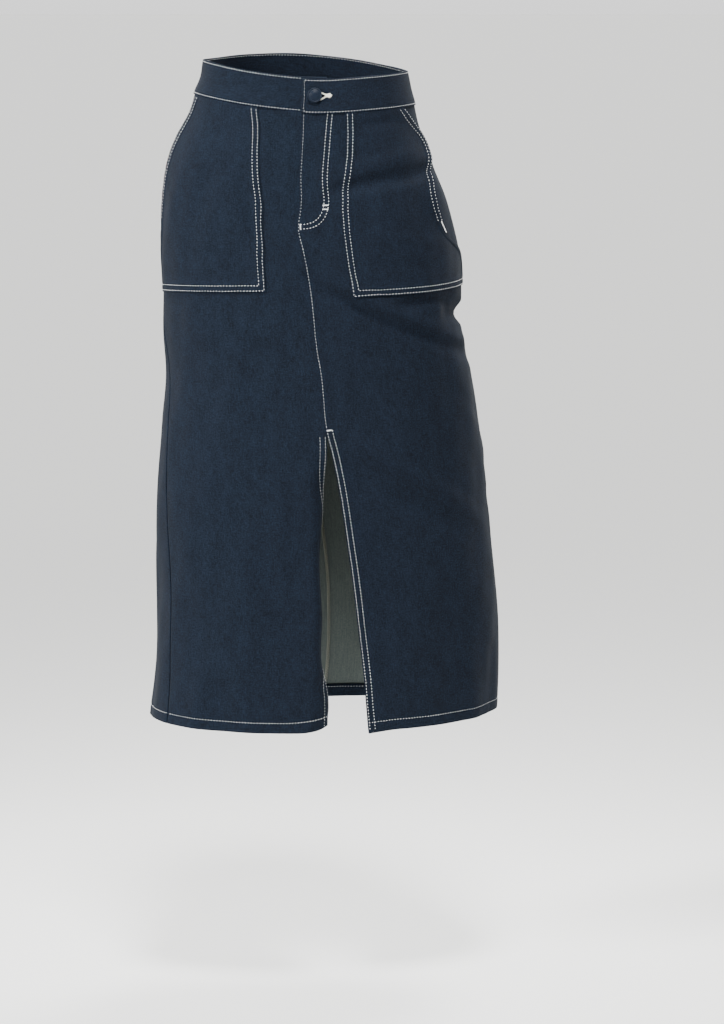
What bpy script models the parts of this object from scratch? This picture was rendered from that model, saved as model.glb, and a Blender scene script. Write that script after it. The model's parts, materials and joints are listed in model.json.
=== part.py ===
"""Midi denim skirt, hollow, in the shape it takes round an unseen wearer.

Two front panels with an open slit between them, two back panels, a wound waistband with
overlapping ends, two patch pockets with slanted mouths, a fly zip and a shank button.

Metres, +Z up. The front faces -Y and +X is the wearer's left. The origin is the middle of
the waistband's ring, at half its height. Sizes in the tables are millimetres.

A place on the skirt is a turn and a level. The turn is in degrees round the ring, 0 at the
front, +90 at the wearer's left side and 180 at the back. The level is the ring's height.
"""

import math

import bmesh
import bpy
import numpy as np
from mathutils import Vector

MM = 0.001
WELD_DISTANCE = 0.00005

# Cloth and seams
CLOTH_WALL = 1.2
BAND_WALL = 2.4
HEM_WALL = 2.8
SEAM_GAP = 0.3
SIDE_SEAM_GAP = 0.8
BAND_SEAM_GAP = 0.4
POCKET_LIFT = 0.5

# Lengths
BAND_HEIGHT = 42.0
BAND_TOP = BAND_HEIGHT / 2
BAND_FOOT = -BAND_HEIGHT / 2
PANEL_TOP = BAND_FOOT - BAND_SEAM_GAP
HEM_LEVEL = -783.5
HEM_TURN_UP = 13.0
SLIT_TOP = -411.0
SLIT_TURN_BACK = 10.5
TURNED_EDGE_STEP = 0.8

# Waistband ends: the outer end stops at the centre front, the inner end runs on behind it
BAND_OUTER_END_TURN = -1.2
BAND_INNER_END_TURN = 13.0
BAND_STEP_FROM_TURN = -3.0
BAND_STEP_TO_TURN = -16.0
BAND_END_CLEARANCE = 0.5

# Button
BUTTON_TURN = 5.4
BUTTON_LEVEL = -1.0
BUTTON_RADIUS = 8.75
BUTTON_DOME = 1.5
BUTTON_RIM_WIDTH = 1.7
BUTTON_THICKNESS = 2.4
BUTTON_STANDS_OFF = 1.8
BUTTON_EDGE_ROUND = 0.5
BUTTON_GROOVE = 0.5
SHANK_RADIUS = 3.0
SHANK_GAP = 0.3
TURNED_STEPS = 28

# Zip
ZIP_TOP = -22.5
SLIDER_TOP = -24.0
ZIP_FOOT = -166.0
TAPE_WIDTH = 26.0
TAPE_WALL = 0.8
CHAIN_WIDTH = 4.4
CHAIN_WALL = 2.4
SLIDER_WIDTH = 8.0
SLIDER_LENGTH = 11.0
SLIDER_WALL = 4.2
ZIP_EDGE_STEP = 0.5
ZIP_LIFT = 0.5

# Grids
EDGE_LINES = 3
FLY_COLUMNS = 3
STRIP_COLUMNS = 3
BACK_COLUMNS = 12
POCKET_ROW = 9.0
THIGH_ROW = 13.0
LOWER_ROW = 30.0
BACK_ROW = 18.0
THIGH_LEVEL = -335.0
FOOT_LEVEL = -248.0
FOOT_SLOPE_REACH = 70.0
BAND_TURN_STEP = 5.0
BAND_ROWS = 4
POCKET_COLUMNS = 10

# How far the surface is stepped along, in degrees and millimetres, to measure it
TURN_PROBE = 0.3
LEVEL_PROBE = 0.5

# Rendered colours (linear red, green, blue)
INDIGO = (0.016, 0.033, 0.062)
INDIGO_BUTTON = (0.008, 0.012, 0.022)
NAVY_TAPE = (0.012, 0.018, 0.035)


def table(names, *rows):
    """Rows of numbers as one array for each named column, the lowest level first."""
    columns = zip(*sorted(rows))
    return {name: np.array(values, float) for name, values in zip(names.split(), columns)}


# The rings of the skirt: how far each reaches to the wearer's right and left, to the front
# and to the back, how much its front dips and its right side rises, how square its corners
# are, how many degrees it is turned towards the wearer's left and how much its sides rise.
RINGS = table(
    "level  right   left   front   back   dip   roll  square  yaw  side_rise",
    (21.5, -122.5, 125.0, 91.0, 93.0, 12.3, 7.0, 0.12, 0.0, 0.0),
    (0.0, -125.5, 129.0, 93.5, 95.5, 12.3, 7.0, 0.12, 0.0, 0.0),
    (-20.5, -132.0, 133.5, 96.5, 99.0, 12.2, 6.8, 0.13, 0.0, 0.0),
    (-45.0, -141.0, 139.5, 101.0, 105.5, 11.8, 6.4, 0.14, 0.0, 0.0),
    (-72.0, -154.5, 149.5, 106.0, 112.5, 11.0, 5.8, 0.15, 0.0, 0.0),
    (-100.0, -164.0, 158.8, 110.5, 119.0, 10.0, 5.1, 0.16, 0.0, 0.0),
    (-130.0, -170.0, 169.5, 114.0, 125.0, 8.8, 4.4, 0.17, 0.0, 0.0),
    (-165.0, -174.2, 179.6, 117.0, 130.5, 7.4, 3.5, 0.18, 0.0, 0.0),
    (-205.0, -175.0, 187.2, 119.0, 133.0, 5.8, 2.6, 0.19, 0.0, 0.0),
    (-248.0, -174.0, 191.5, 120.0, 132.5, 4.2, 1.6, 0.20, 0.0, 0.0),
    (-300.0, -173.4, 194.0, 120.0, 130.5, 2.4, 0.6, 0.20, 1.0, 0.0),
    (-350.0, -171.2, 201.5, 119.5, 128.5, 1.0, -0.4, 0.20, 2.5, 0.0),
    (-410.0, -176.2, 213.4, 119.0, 127.0, 0.0, -1.4, 0.20, 4.0, 0.0),
    (-520.0, -184.8, 225.5, 118.5, 125.0, 0.0, -2.4, 0.20, 7.0, 1.0),
    (-640.0, -183.4, 238.6, 119.0, 124.0, 0.0, -2.8, 0.20, 8.0, 3.5),
    (-740.0, -188.0, 241.5, 120.0, 124.0, 0.0, -2.2, 0.20, 8.6, 6.0),
    (-783.5, -193.5, 240.3, 120.5, 124.5, 0.0, -1.5, 0.20, 9.0, 7.0),
)

# Where the seams run, as turns. Below the slit's top each front panel has its own edge.
SEAMS = table(
    "level  right_side  right_slit  left_slit  left_side  back",
    (20.5, -89.0, -0.6, -0.6, 91.0, 180.0),
    (-20.5, -89.0, 0.2, 0.2, 91.0, 180.0),
    (-90.0, -88.5, 0.1, 0.1, 91.5, 180.0),
    (-135.0, -88.2, -1.0, -1.0, 91.8, 180.0),
    (-166.0, -88.0, -2.7, -2.7, 92.0, 180.0),
    (-190.0, -87.8, -1.6, -1.6, 92.0, 180.0),
    (-225.0, -87.0, -0.4, -0.4, 92.0, 180.0),
    (-290.0, -84.0, 0.8, 0.8, 92.0, 180.0),
    (-340.0, -80.0, 0.0, 0.0, 92.0, 180.0),
    (-390.0, -75.5, -0.1, -0.1, 92.0, 180.0),
    (-411.0, -74.5, 0.2, 0.2, 92.0, 180.0),
    (-440.0, -73.5, -0.3, 1.3, 92.0, 180.0),
    (-500.0, -73.0, -2.4, 3.1, 91.5, 180.5),
    (-570.0, -72.0, -5.6, 4.1, 91.0, 181.0),
    (-640.0, -72.0, -6.6, 5.1, 91.0, 181.0),
    (-705.0, -71.5, -6.5, 7.0, 91.0, 180.5),
    (-740.0, -70.5, -4.7, 8.1, 91.0, 180.5),
    (-783.5, -69.5, -4.2, 9.8, 91.0, 180.5),
)

# The lines of each front panel's grid that its patch pocket's edges follow, as turns: the
# inner edge, and the slanted mouth with the line that runs on below it. The gape is how far
# the mouth stands off the panel, and GAPE_WIDTH is how far into the pocket it reaches.
RIGHT_POCKET = table(
    "level  inner  mouth  gape",
    (-20.5, -24.4, -76.5, 0.0),
    (-45.0, -22.8, -78.5, 1.5),
    (-75.0, -21.0, -81.5, 3.0),
    (-110.0, -18.6, -83.0, 2.6),
    (-145.0, -16.9, -83.5, 1.2),
    (-172.0, -16.9, -83.5, 0.0),
    (-250.0, -16.9, -82.0, 0.0),
    (-335.0, -19.0, -74.5, 0.0),
    (-411.0, -20.5, -68.5, 0.0),
    (-570.0, -23.0, -66.0, 0.0),
    (-783.5, -24.0, -63.5, 0.0),
)
LEFT_POCKET = table(
    "level  inner  mouth  gape",
    (-20.5, 22.2, 67.0, 0.0),
    (-45.0, 21.8, 75.0, 2.2),
    (-75.0, 20.2, 79.5, 4.2),
    (-92.0, 18.8, 78.0, 5.0),
    (-112.0, 16.6, 71.0, 5.0),
    (-132.0, 15.2, 68.0, 5.0),
    (-155.0, 14.6, 68.5, 4.0),
    (-174.0, 14.4, 75.0, 1.5),
    (-190.0, 14.4, 83.0, 0.0),
    (-205.0, 14.5, 85.0, 0.0),
    (-250.0, 16.2, 84.5, 0.0),
    (-335.0, 20.0, 82.0, 0.0),
    (-411.0, 21.5, 80.0, 0.0),
    (-570.0, 26.0, 79.0, 0.0),
    (-783.5, 30.0, 78.0, 0.0),
)
GAPE_WIDTH = 26.0
GAPE_CURVE = 1.5

# The main folds: three places on each spine, its half width and its height. A height below
# zero is a trough. Each fold fades towards both ends of its spine.
FOLD_NAMES = "name turn_a level_a turn_b level_b turn_c level_c half_width height"
FOLDS = (
    ("left_pocket_crease", 8.0, -121.0, 40.0, -105.0, 88.0, -97.0, 14.0, -4.2),
    ("left_pocket_swell", 12.0, -96.0, 40.0, -84.0, 72.0, -76.0, 15.0, 2.0),
    ("drag_trough", -26.0, -104.0, 6.0, -244.0, 96.0, -344.0, 15.0, -3.2),
    ("drag_ridge", -2.0, -150.0, 26.0, -262.0, 92.0, -312.0, 17.0, 3.0),
    ("pocket_foot_crease", 32.0, -264.0, 60.0, -258.0, 86.0, -272.0, 11.0, -3.0),
    ("hip_notch", 58.0, -271.0, 92.0, -281.0, 124.0, -284.0, 17.0, -9.0),
    ("slit_ridge", -1.0, -402.0, 27.0, -468.0, 68.0, -538.0, 18.0, 3.0),
    ("slit_trough", 2.0, -446.0, 24.0, -502.0, 56.0, -550.0, 18.0, -2.4),
    ("slit_edge_curl", -1.0, -450.0, -6.5, -620.0, -3.0, -830.0, 15.0, -6.5),
    ("band_dip", 28.0, -38.0, 42.0, -36.0, 58.0, -34.0, 9.0, -1.6),
    ("right_hip_hollow", -40.0, -96.0, -46.0, -128.0, -44.0, -165.0, 22.0, -1.6),
    ("right_thigh_hollow", -20.0, -300.0, -26.0, -360.0, -22.0, -430.0, 30.0, -1.8),
    ("right_lower_ridge", -30.0, -520.0, -34.0, -640.0, -30.0, -800.0, 34.0, 2.2),
    ("left_lower_trough", 34.0, -560.0, 40.0, -670.0, 42.0, -810.0, 32.0, -2.2),
    ("seat_ridge_left", 158.0, -300.0, 140.0, -360.0, 112.0, -392.0, 20.0, 3.0),
    ("seat_trough_left", 150.0, -325.0, 132.0, -388.0, 104.0, -430.0, 22.0, -3.0),
    ("seat_trough_right", 196.0, -292.0, 214.0, -345.0, 246.0, -372.0, 20.0, -3.2),
    ("seat_ridge_right", 200.0, -318.0, 220.0, -376.0, 250.0, -408.0, 22.0, 2.6),
    ("back_lower_trough", 166.0, -480.0, 160.0, -640.0, 163.0, -820.0, 34.0, -4.0),
    ("back_lower_ridge", 205.0, -500.0, 212.0, -650.0, 208.0, -820.0, 36.0, 3.6),
    ("side_ripple", 118.0, -420.0, 122.0, -600.0, 120.0, -820.0, 30.0, 3.2),
    ("back_waist_crease", 150.0, -62.0, 176.0, -70.0, 206.0, -60.0, 10.0, -2.2),
)
SPINE_STEPS = 12

# What differs between the two front panels: the way from the centre front to the side seam,
# the columns of their seams, their pockets, the levels of a pocket's foot at its inner edge
# and its outer one, where its mouth ends and how far the hem's corner at the slit is drawn up.
SIDES = {
    "right": {
        "way": -1, "slit": "right_slit", "seam": "right_side", "pocket": RIGHT_POCKET,
        "foot": (-244.0, -255.0), "mouth_end": -172.0, "corner_rise": 8.0,
    },
    "left": {
        "way": 1, "slit": "left_slit", "seam": "left_side", "pocket": LEFT_POCKET,
        "foot": (-249.0, -244.5), "mouth_end": -194.0, "corner_rise": 0.0,
    },
}

# How far from the slit and from the hem a drawn-up corner reaches
CORNER_RISE_WIDTH = 45.0
CORNER_RISE_HEIGHT = 120.0


def clear_scene():
    """Remove every object, so that the skirt is built in an empty scene."""
    for thing in list(bpy.data.objects):
        bpy.data.objects.remove(thing, do_unlink=True)


def read(rows, name, level):
    """A column's value at any level, on a smooth curve through the table's rows."""
    knots = rows["level"]
    values = rows[name]
    slopes = np.gradient(values, knots)
    level = np.clip(level, knots[0], knots[-1])
    low = np.clip(np.searchsorted(knots, level) - 1, 0, len(knots) - 2)
    span = knots[low + 1] - knots[low]
    t = (level - knots[low]) / span
    near = (1 + 2 * t) * (1 - t) ** 2 * values[low] + t * (1 - t) ** 2 * span * slopes[low]
    far = t * t * (3 - 2 * t) * values[low + 1] + t * t * (t - 1) * span * slopes[low + 1]
    return near + far


def body(turn, level):
    """The skirt's outer face without its folds, in millimetres."""
    turn, level = np.broadcast_arrays(np.asarray(turn, float), np.asarray(level, float))
    side = np.sin(np.radians(turn))
    ahead = np.cos(np.radians(turn))
    right = read(RINGS, "right", level)
    left = read(RINGS, "left", level)
    depth = np.where(ahead > 0, read(RINGS, "front", level), read(RINGS, "back", level))
    across = (left - right) / 2 * side
    back = -depth * ahead * (1 + read(RINGS, "square", level) * side ** 2)
    yaw = np.radians(read(RINGS, "yaw", level))
    x = (left + right) / 2 + across * np.cos(yaw) - back * np.sin(yaw)
    y = across * np.sin(yaw) + back * np.cos(yaw)
    z = level - read(RINGS, "roll", level) * side
    z = z - read(RINGS, "dip", level) * ahead * np.abs(ahead)
    z = z + read(RINGS, "side_rise", level) * side ** 2
    return np.stack((x, y, z), axis=-1)


def face_normal(face, turn, level):
    """Unit normals that point out of a face, by stepping a little round it and down it."""
    across = face(turn + TURN_PROBE, level) - face(turn - TURN_PROBE, level)
    down = face(turn, level - LEVEL_PROBE) - face(turn, level + LEVEL_PROBE)
    normal = np.cross(down, across)
    return normal / np.linalg.norm(normal, axis=-1, keepdims=True)


def fold_spine(turns, levels):
    """Points along a fold's spine, on a parabola through its three places."""
    t = np.linspace(0, 1, SPINE_STEPS + 1)
    weights = ((1 - t) * (1 - 2 * t), 4 * t * (1 - t), t * (2 * t - 1))
    turn = sum(weight * value for weight, value in zip(weights, turns))
    level = sum(weight * value for weight, value in zip(weights, levels))
    return body(turn, level)


def fold_height(points, spine, half_width, height):
    """How far one fold moves each point out: full on its spine, none at its half width."""
    nearest = np.full(points.shape[:-1], np.inf)
    along = np.zeros(points.shape[:-1])
    for step in range(SPINE_STEPS):
        run = spine[step + 1] - spine[step]
        t = np.clip(np.sum((points - spine[step]) * run, axis=-1) / np.dot(run, run), 0, 1)
        distance = np.linalg.norm(points - spine[step] - t[..., None] * run, axis=-1)
        closer = distance < nearest
        nearest = np.where(closer, distance, nearest)
        along = np.where(closer, (step + t) / SPINE_STEPS, along)
    across = np.clip(1 - (nearest / half_width) ** 2, 0, 1) ** 2
    fade = 1 - (2 * along - 1) ** 4
    return height * across * fade


def folded(turn, level):
    """The skirt's outer face with its folds, in millimetres."""
    points = body(turn, level)
    height = np.zeros(points.shape[:-1])
    for row in FOLDS:
        fold = dict(zip(FOLD_NAMES.split(), row))
        spine = fold_spine(
            (fold["turn_a"], fold["turn_b"], fold["turn_c"]),
            (fold["level_a"], fold["level_b"], fold["level_c"]),
        )
        height = height + fold_height(points, spine, fold["half_width"], fold["height"])
    return points + height[..., None] * face_normal(body, turn, level)


def cloth(turn, level, lift=0.0):
    """Points on the folded cloth, moved out of its outer face by a lift."""
    lift = np.asarray(lift, float)
    return folded(turn, level) + lift[..., None] * face_normal(folded, turn, level)


def turn_per_mm(turn, level):
    """Degrees of turn for each millimetre round the ring."""
    step = body(turn + TURN_PROBE, level) - body(turn - TURN_PROBE, level)
    return 2 * TURN_PROBE / np.linalg.norm(step, axis=-1)


def row_levels(low, high, spacing):
    """Evenly spaced levels from low to high, as near to the spacing as fits."""
    count = max(2, round((high - low) / spacing) + 1)
    return np.linspace(low, high, count)


def hem_levels():
    """The levels of the hem's fold: its edge, and the step where its turn-up ends."""
    turn_up_top = HEM_LEVEL + HEM_TURN_UP
    return np.array((HEM_LEVEL, turn_up_top, turn_up_top + TURNED_EDGE_STEP))


def between(start, end, count):
    """Lines evenly spread from start to end, in count steps, without the start itself."""
    return [start + (end - start) * step / count for step in range(1, count + 1)]


def panel_levels(upper_row):
    """A panel's rows from the hem up, with one at the pocket's foot."""
    turn_up = hem_levels()
    lower = row_levels(turn_up[-1], THIGH_LEVEL, LOWER_ROW)[1:]
    thigh = row_levels(THIGH_LEVEL, FOOT_LEVEL, THIGH_ROW)[1:]
    upper = row_levels(FOOT_LEVEL, PANEL_TOP, upper_row)[1:]
    return np.concatenate((turn_up, lower, thigh, upper))


def front_places(side):
    """Turns and levels of a front panel's grid, which its patch pocket shares."""
    level = panel_levels(POCKET_ROW)
    slit = read(SEAMS, side["slit"], level)
    seam = read(SEAMS, side["seam"], level)
    slit_per_mm = side["way"] * turn_per_mm(slit, level)
    edge = slit + SEAM_GAP / 2 * slit_per_mm
    fold_in = edge + SLIT_TURN_BACK * slit_per_mm
    fold_end = fold_in + TURNED_EDGE_STEP * slit_per_mm
    inner = read(side["pocket"], "inner", level)
    mouth = read(side["pocket"], "mouth", level)
    seam_edge = seam - side["way"] * SIDE_SEAM_GAP / 2 * turn_per_mm(seam, level)
    lines = [edge, fold_in, fold_end]
    lines += between(fold_end, inner, FLY_COLUMNS)
    lines += between(inner, mouth, POCKET_COLUMNS)
    lines += between(mouth, seam_edge, STRIP_COLUMNS)
    turn = np.stack(lines, axis=1)
    across = np.clip((turn - inner[:, None]) / (mouth - inner)[:, None], 0, 1)
    foot_line = side["foot"][0] + (side["foot"][1] - side["foot"][0]) * across
    window = np.clip(1 - np.abs(level - FOOT_LEVEL) / FOOT_SLOPE_REACH, 0, 1)[:, None]
    from_edge = np.clip((turn - edge[:, None]) / (inner - edge)[:, None], 0, 1)
    from_seam = np.clip((turn - seam_edge[:, None]) / (mouth - seam_edge)[:, None], 0, 1)
    levels = level[:, None] + (foot_line - FOOT_LEVEL) * window * from_edge * from_seam
    beside = np.clip(1 - np.abs((turn - edge[:, None]) / slit_per_mm[:, None])
                     / CORNER_RISE_WIDTH, 0, 1)
    above = np.clip(1 - (levels - HEM_LEVEL) / CORNER_RISE_HEIGHT, 0, 1)
    return turn, levels + side["corner_rise"] * beside ** 2 * above ** 2


def material(name, colour, roughness=0.85, metallic=0.0):
    """A plain material of its own for one sub-part."""
    finish = bpy.data.materials.new(name + "_material")
    finish.use_nodes = True
    shader = finish.node_tree.nodes["Principled BSDF"]
    shader.inputs["Base Color"].default_value = (*colour, 1.0)
    shader.inputs["Roughness"].default_value = roughness
    shader.inputs["Metallic"].default_value = metallic
    return finish


def cloth_object(name, points, walls, colour, collection, cut=None):
    """A wall of cloth behind a grid of points, the lowest row first. Each point has its own
    wall thickness, and the points that cut marks are left out."""
    rows, columns = points.shape[:2]
    thickest = float(np.max(walls))
    bm = bmesh.new()
    bmesh.ops.create_grid(bm, x_segments=columns - 1, y_segments=rows - 1, size=1.0)
    share = bm.verts.layers.deform.verify()
    left_out = []
    for vert in bm.verts:
        row = round((vert.co.y + 1) / 2 * (rows - 1))
        column = round((vert.co.x + 1) / 2 * (columns - 1))
        vert.co = Vector(points[row, column]) * MM
        vert[share][0] = walls[row, column] / thickest
        if cut is not None and cut[row, column]:
            left_out.append(vert)
    bmesh.ops.delete(bm, geom=left_out, context="VERTS")
    mesh = bpy.data.meshes.new(name)
    bm.to_mesh(mesh)
    bm.free()
    mesh.shade_smooth()
    mesh.materials.append(material(name, colour))
    piece = bpy.data.objects.new(name, mesh)
    collection.objects.link(piece)
    shell = piece.modifiers.new("wall", "SOLIDIFY")
    shell.thickness = thickest * MM
    shell.offset = -1
    shell.use_even_offset = True
    shell.vertex_group = piece.vertex_groups.new(name="share_of_wall").name
    return piece


def front_panel(name, side, collection):
    """A front panel from the centre front to its side seam, with its hem and slit edge."""
    turn, level = front_places(side)
    points = cloth(turn, level)
    walls = np.full(turn.shape, CLOTH_WALL)
    walls[:2] = HEM_WALL
    walls[level[:, 0] < SLIT_TOP, :2] = HEM_WALL
    way = side["way"]
    return cloth_object(name, points[:, ::way], walls[:, ::way], INDIGO, collection)


def back_panel(name, from_column, to_column, from_gap, to_gap, collection):
    """A back panel between the centre back seam and a side seam, with its hem."""
    level = panel_levels(BACK_ROW)
    start = read(SEAMS, from_column, level)
    end = read(SEAMS, to_column, level)
    if end[0] < start[0]:
        end = end + 360
    start = start + from_gap / 2 * turn_per_mm(start, level)
    end = end - to_gap / 2 * turn_per_mm(end, level)
    spread = np.linspace(0, 1, BACK_COLUMNS)
    turn = start[:, None] + (end - start)[:, None] * spread
    points = cloth(turn, level[:, None])
    walls = np.full(turn.shape, CLOTH_WALL)
    walls[:2] = HEM_WALL
    return cloth_object(name, points, walls, INDIGO, collection)


def make_panels(collection):
    """The four panels, each between its two seams."""
    front_panel("front_right", SIDES["right"], collection)
    front_panel("front_left", SIDES["left"], collection)
    back_panel("back_left", "left_side", "back", SIDE_SEAM_GAP, SEAM_GAP, collection)
    back_panel("back_right", "back", "right_side", SEAM_GAP, SIDE_SEAM_GAP, collection)


def make_waistband(collection):
    """One strip wound once round the waist, its inner end behind its outer one."""
    count = round((360 + BAND_INNER_END_TURN - BAND_OUTER_END_TURN) / BAND_TURN_STEP) + 1
    turn = np.linspace(BAND_OUTER_END_TURN, 360 + BAND_INNER_END_TURN, count)
    from_start = np.clip((turn - 360 - BAND_STEP_TO_TURN)
                         / (BAND_STEP_FROM_TURN - BAND_STEP_TO_TURN), 0, 1)
    inward = from_start ** 2 * (3 - 2 * from_start) * (BAND_WALL + BAND_END_CLEARANCE)
    level = np.linspace(BAND_FOOT, BAND_TOP, BAND_ROWS)[:, None]
    lift = (BAND_WALL / 2 - inward)[None, :] + np.zeros_like(level)
    band_turn, band_level = np.broadcast_arrays(turn[None, :], level)
    points = body(band_turn, band_level)
    points = points + lift[..., None] * face_normal(body, band_turn, band_level)
    walls = np.full(band_turn.shape, BAND_WALL)
    return cloth_object("waistband", points, walls, INDIGO, collection)


def pocket(name, side, collection):
    """A patch pocket, made from its panel's points moved out: an upright inner edge, a foot,
    and an outer edge that is the slanted mouth above and the side seam below."""
    turn, level = front_places(side)
    foot_row = np.argmin(np.abs(panel_levels(POCKET_ROW) - FOOT_LEVEL))
    inner_line = EDGE_LINES - 1 + FLY_COLUMNS
    turn = turn[foot_row:, inner_line:]
    level = level[foot_row:, inner_line:]
    mouth = turn[:, POCKET_COLUMNS, None]
    from_mouth = np.abs(mouth - turn) / turn_per_mm(turn, level)
    near_mouth = np.clip(1 - from_mouth / GAPE_WIDTH, 0, 1) ** GAPE_CURVE
    gape = read(side["pocket"], "gape", level) * near_mouth
    points = cloth(turn, level, POCKET_LIFT + CLOTH_WALL + gape)
    walls = np.full(turn.shape, CLOTH_WALL)
    past_mouth = np.zeros(turn.shape, bool)
    past_mouth[level[:, -1] > side["mouth_end"], POCKET_COLUMNS + 1:] = True
    way = side["way"]
    return cloth_object(
        name, points[:, ::way], walls[:, ::way], INDIGO, collection, past_mouth[:, ::way],
    )


def make_pockets(collection):
    """The two patch pockets."""
    pocket("pocket_right", SIDES["right"], collection)
    pocket("pocket_left", SIDES["left"], collection)


def make_button(collection):
    """A domed button with a rim and a shank, standing on the waistband."""
    head_back = BUTTON_STANDS_OFF
    head_front = head_back + BUTTON_THICKNESS
    rim_inside = BUTTON_RADIUS - BUTTON_RIM_WIDTH
    groove_floor = head_front - BUTTON_GROOVE
    profile = (
        (0.0, groove_floor + BUTTON_DOME),
        (rim_inside * 0.5, groove_floor + BUTTON_DOME * 0.75),
        (rim_inside * 0.85, groove_floor + BUTTON_DOME * 0.25),
        (rim_inside, groove_floor),
        (rim_inside + BUTTON_EDGE_ROUND, head_front),
        (BUTTON_RADIUS - BUTTON_EDGE_ROUND, head_front),
        (BUTTON_RADIUS, head_front - BUTTON_EDGE_ROUND),
        (BUTTON_RADIUS, head_back + BUTTON_EDGE_ROUND),
        (BUTTON_RADIUS - 2 * BUTTON_EDGE_ROUND, head_back),
        (SHANK_RADIUS, head_back),
        (SHANK_RADIUS, SHANK_GAP),
        (0.0, SHANK_GAP),
    )
    bm = bmesh.new()
    verts = [bm.verts.new((radius * MM, 0.0, height * MM)) for radius, height in profile]
    for upper, lower in zip(verts, verts[1:]):
        bm.edges.new((upper, lower))
    mesh = bpy.data.meshes.new("button")
    bm.to_mesh(mesh)
    bm.free()
    piece = bpy.data.objects.new("button", mesh)
    collection.objects.link(piece)
    mesh.materials.append(material("button", INDIGO_BUTTON, 0.3))
    turned = piece.modifiers.new("turned", "SCREW")
    turned.angle = 2 * math.pi
    turned.steps = TURNED_STEPS
    turned.render_steps = TURNED_STEPS
    turned.use_merge_vertices = True
    turned.merge_threshold = WELD_DISTANCE
    turned.use_normal_calculate = True
    place = np.array((BUTTON_TURN, BUTTON_LEVEL))
    normal = face_normal(body, *place)
    piece.location = Vector(body(*place) + normal * BAND_WALL / 2) * MM
    piece.rotation_mode = "QUATERNION"
    piece.rotation_quaternion = Vector(normal).to_track_quat("Z", "Y")
    return piece


def make_zip(collection):
    """The closed zip behind the fly: its tapes, its chain as a ridge and its slider."""
    slider_foot = SLIDER_TOP - SLIDER_LENGTH
    level = np.concatenate((
        row_levels(ZIP_FOOT, slider_foot - ZIP_EDGE_STEP, THIGH_ROW),
        (slider_foot, SLIDER_TOP, SLIDER_TOP + ZIP_EDGE_STEP, ZIP_TOP),
    ))
    slider_edge = SLIDER_WIDTH / 2
    chain_edge = CHAIN_WIDTH / 2
    one_side = np.array((
        chain_edge, chain_edge + ZIP_EDGE_STEP, slider_edge, slider_edge + ZIP_EDGE_STEP,
        TAPE_WIDTH / 2,
    ))
    across = np.concatenate((-one_side[::-1], one_side))
    centre = read(SEAMS, "left_slit", level)
    turn = centre[:, None] + across * turn_per_mm(centre, level)[:, None]
    levels = np.repeat(level[:, None], len(across), axis=1)
    in_slider = (levels >= slider_foot) & (levels <= SLIDER_TOP)
    in_slider &= np.abs(across) <= slider_edge
    in_chain = (np.abs(across) <= chain_edge) & (levels < slider_foot)
    walls = np.where(in_slider, SLIDER_WALL, np.where(in_chain, CHAIN_WALL, TAPE_WALL))
    points = cloth(turn, levels, -CLOTH_WALL - ZIP_LIFT + np.zeros(turn.shape))
    return cloth_object("zip", points, walls, NAVY_TAPE, collection)


def main():
    """Build the skirt."""
    clear_scene()
    collection = bpy.data.collections.new("denim_skirt")
    bpy.context.scene.collection.children.link(collection)
    make_panels(collection)
    make_waistband(collection)
    make_pockets(collection)
    make_button(collection)
    make_zip(collection)


main()
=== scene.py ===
"""Denim midi skirt as it hangs when worn, built as an add-on with one operator for each piece.

The skirt is a surface over a turn and a level. The turn is in degrees round the ring, 0 at the
front, +90 at the wearer's left side and 180 at the back. The level is the ring's height. Sizes
in the tables are millimetres. The front faces -Y, +X is the wearer's left and +Z is up.
"""
import json
import math

import bmesh
import bpy
import numpy as np
from mathutils import Matrix, Vector
from mathutils.bvhtree import BVHTree

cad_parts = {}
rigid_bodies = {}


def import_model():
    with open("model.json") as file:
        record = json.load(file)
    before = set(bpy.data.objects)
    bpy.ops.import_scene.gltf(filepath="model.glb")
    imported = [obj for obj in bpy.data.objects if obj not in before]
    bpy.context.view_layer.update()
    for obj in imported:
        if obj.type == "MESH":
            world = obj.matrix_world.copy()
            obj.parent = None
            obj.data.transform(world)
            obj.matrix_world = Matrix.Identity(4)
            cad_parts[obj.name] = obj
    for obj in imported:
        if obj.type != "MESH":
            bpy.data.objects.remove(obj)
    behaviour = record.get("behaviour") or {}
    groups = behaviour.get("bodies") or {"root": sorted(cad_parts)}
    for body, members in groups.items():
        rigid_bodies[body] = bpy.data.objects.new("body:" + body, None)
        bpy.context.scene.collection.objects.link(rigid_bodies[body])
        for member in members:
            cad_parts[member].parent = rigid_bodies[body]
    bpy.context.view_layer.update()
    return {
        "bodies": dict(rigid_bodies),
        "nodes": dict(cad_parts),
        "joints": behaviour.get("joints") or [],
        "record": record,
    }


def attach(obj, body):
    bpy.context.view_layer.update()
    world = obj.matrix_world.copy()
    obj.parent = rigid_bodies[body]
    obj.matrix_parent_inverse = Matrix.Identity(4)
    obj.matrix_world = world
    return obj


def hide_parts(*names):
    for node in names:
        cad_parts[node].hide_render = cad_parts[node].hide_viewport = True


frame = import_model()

bl_info = {
    "name": "Denim skirt",
    "version": (1, 0, 0),
    "blender": (4, 5, 0),
    "location": "View3D > Sidebar > Skirt",
    "description": "Builds a worn denim midi skirt with patch pockets, a fly and a front slit",
    "category": "Object",
}

BODY = "root"
MM = 0.001
WELD_DISTANCE = 0.00001

# Levels of the skirt's edges and seams
BAND_TOP = 21.0
BAND_FOOT = -21.0
PANEL_TOP = -19.0
HEM_LEVEL = -783.5
SLIT_TOP = -411.0

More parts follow.
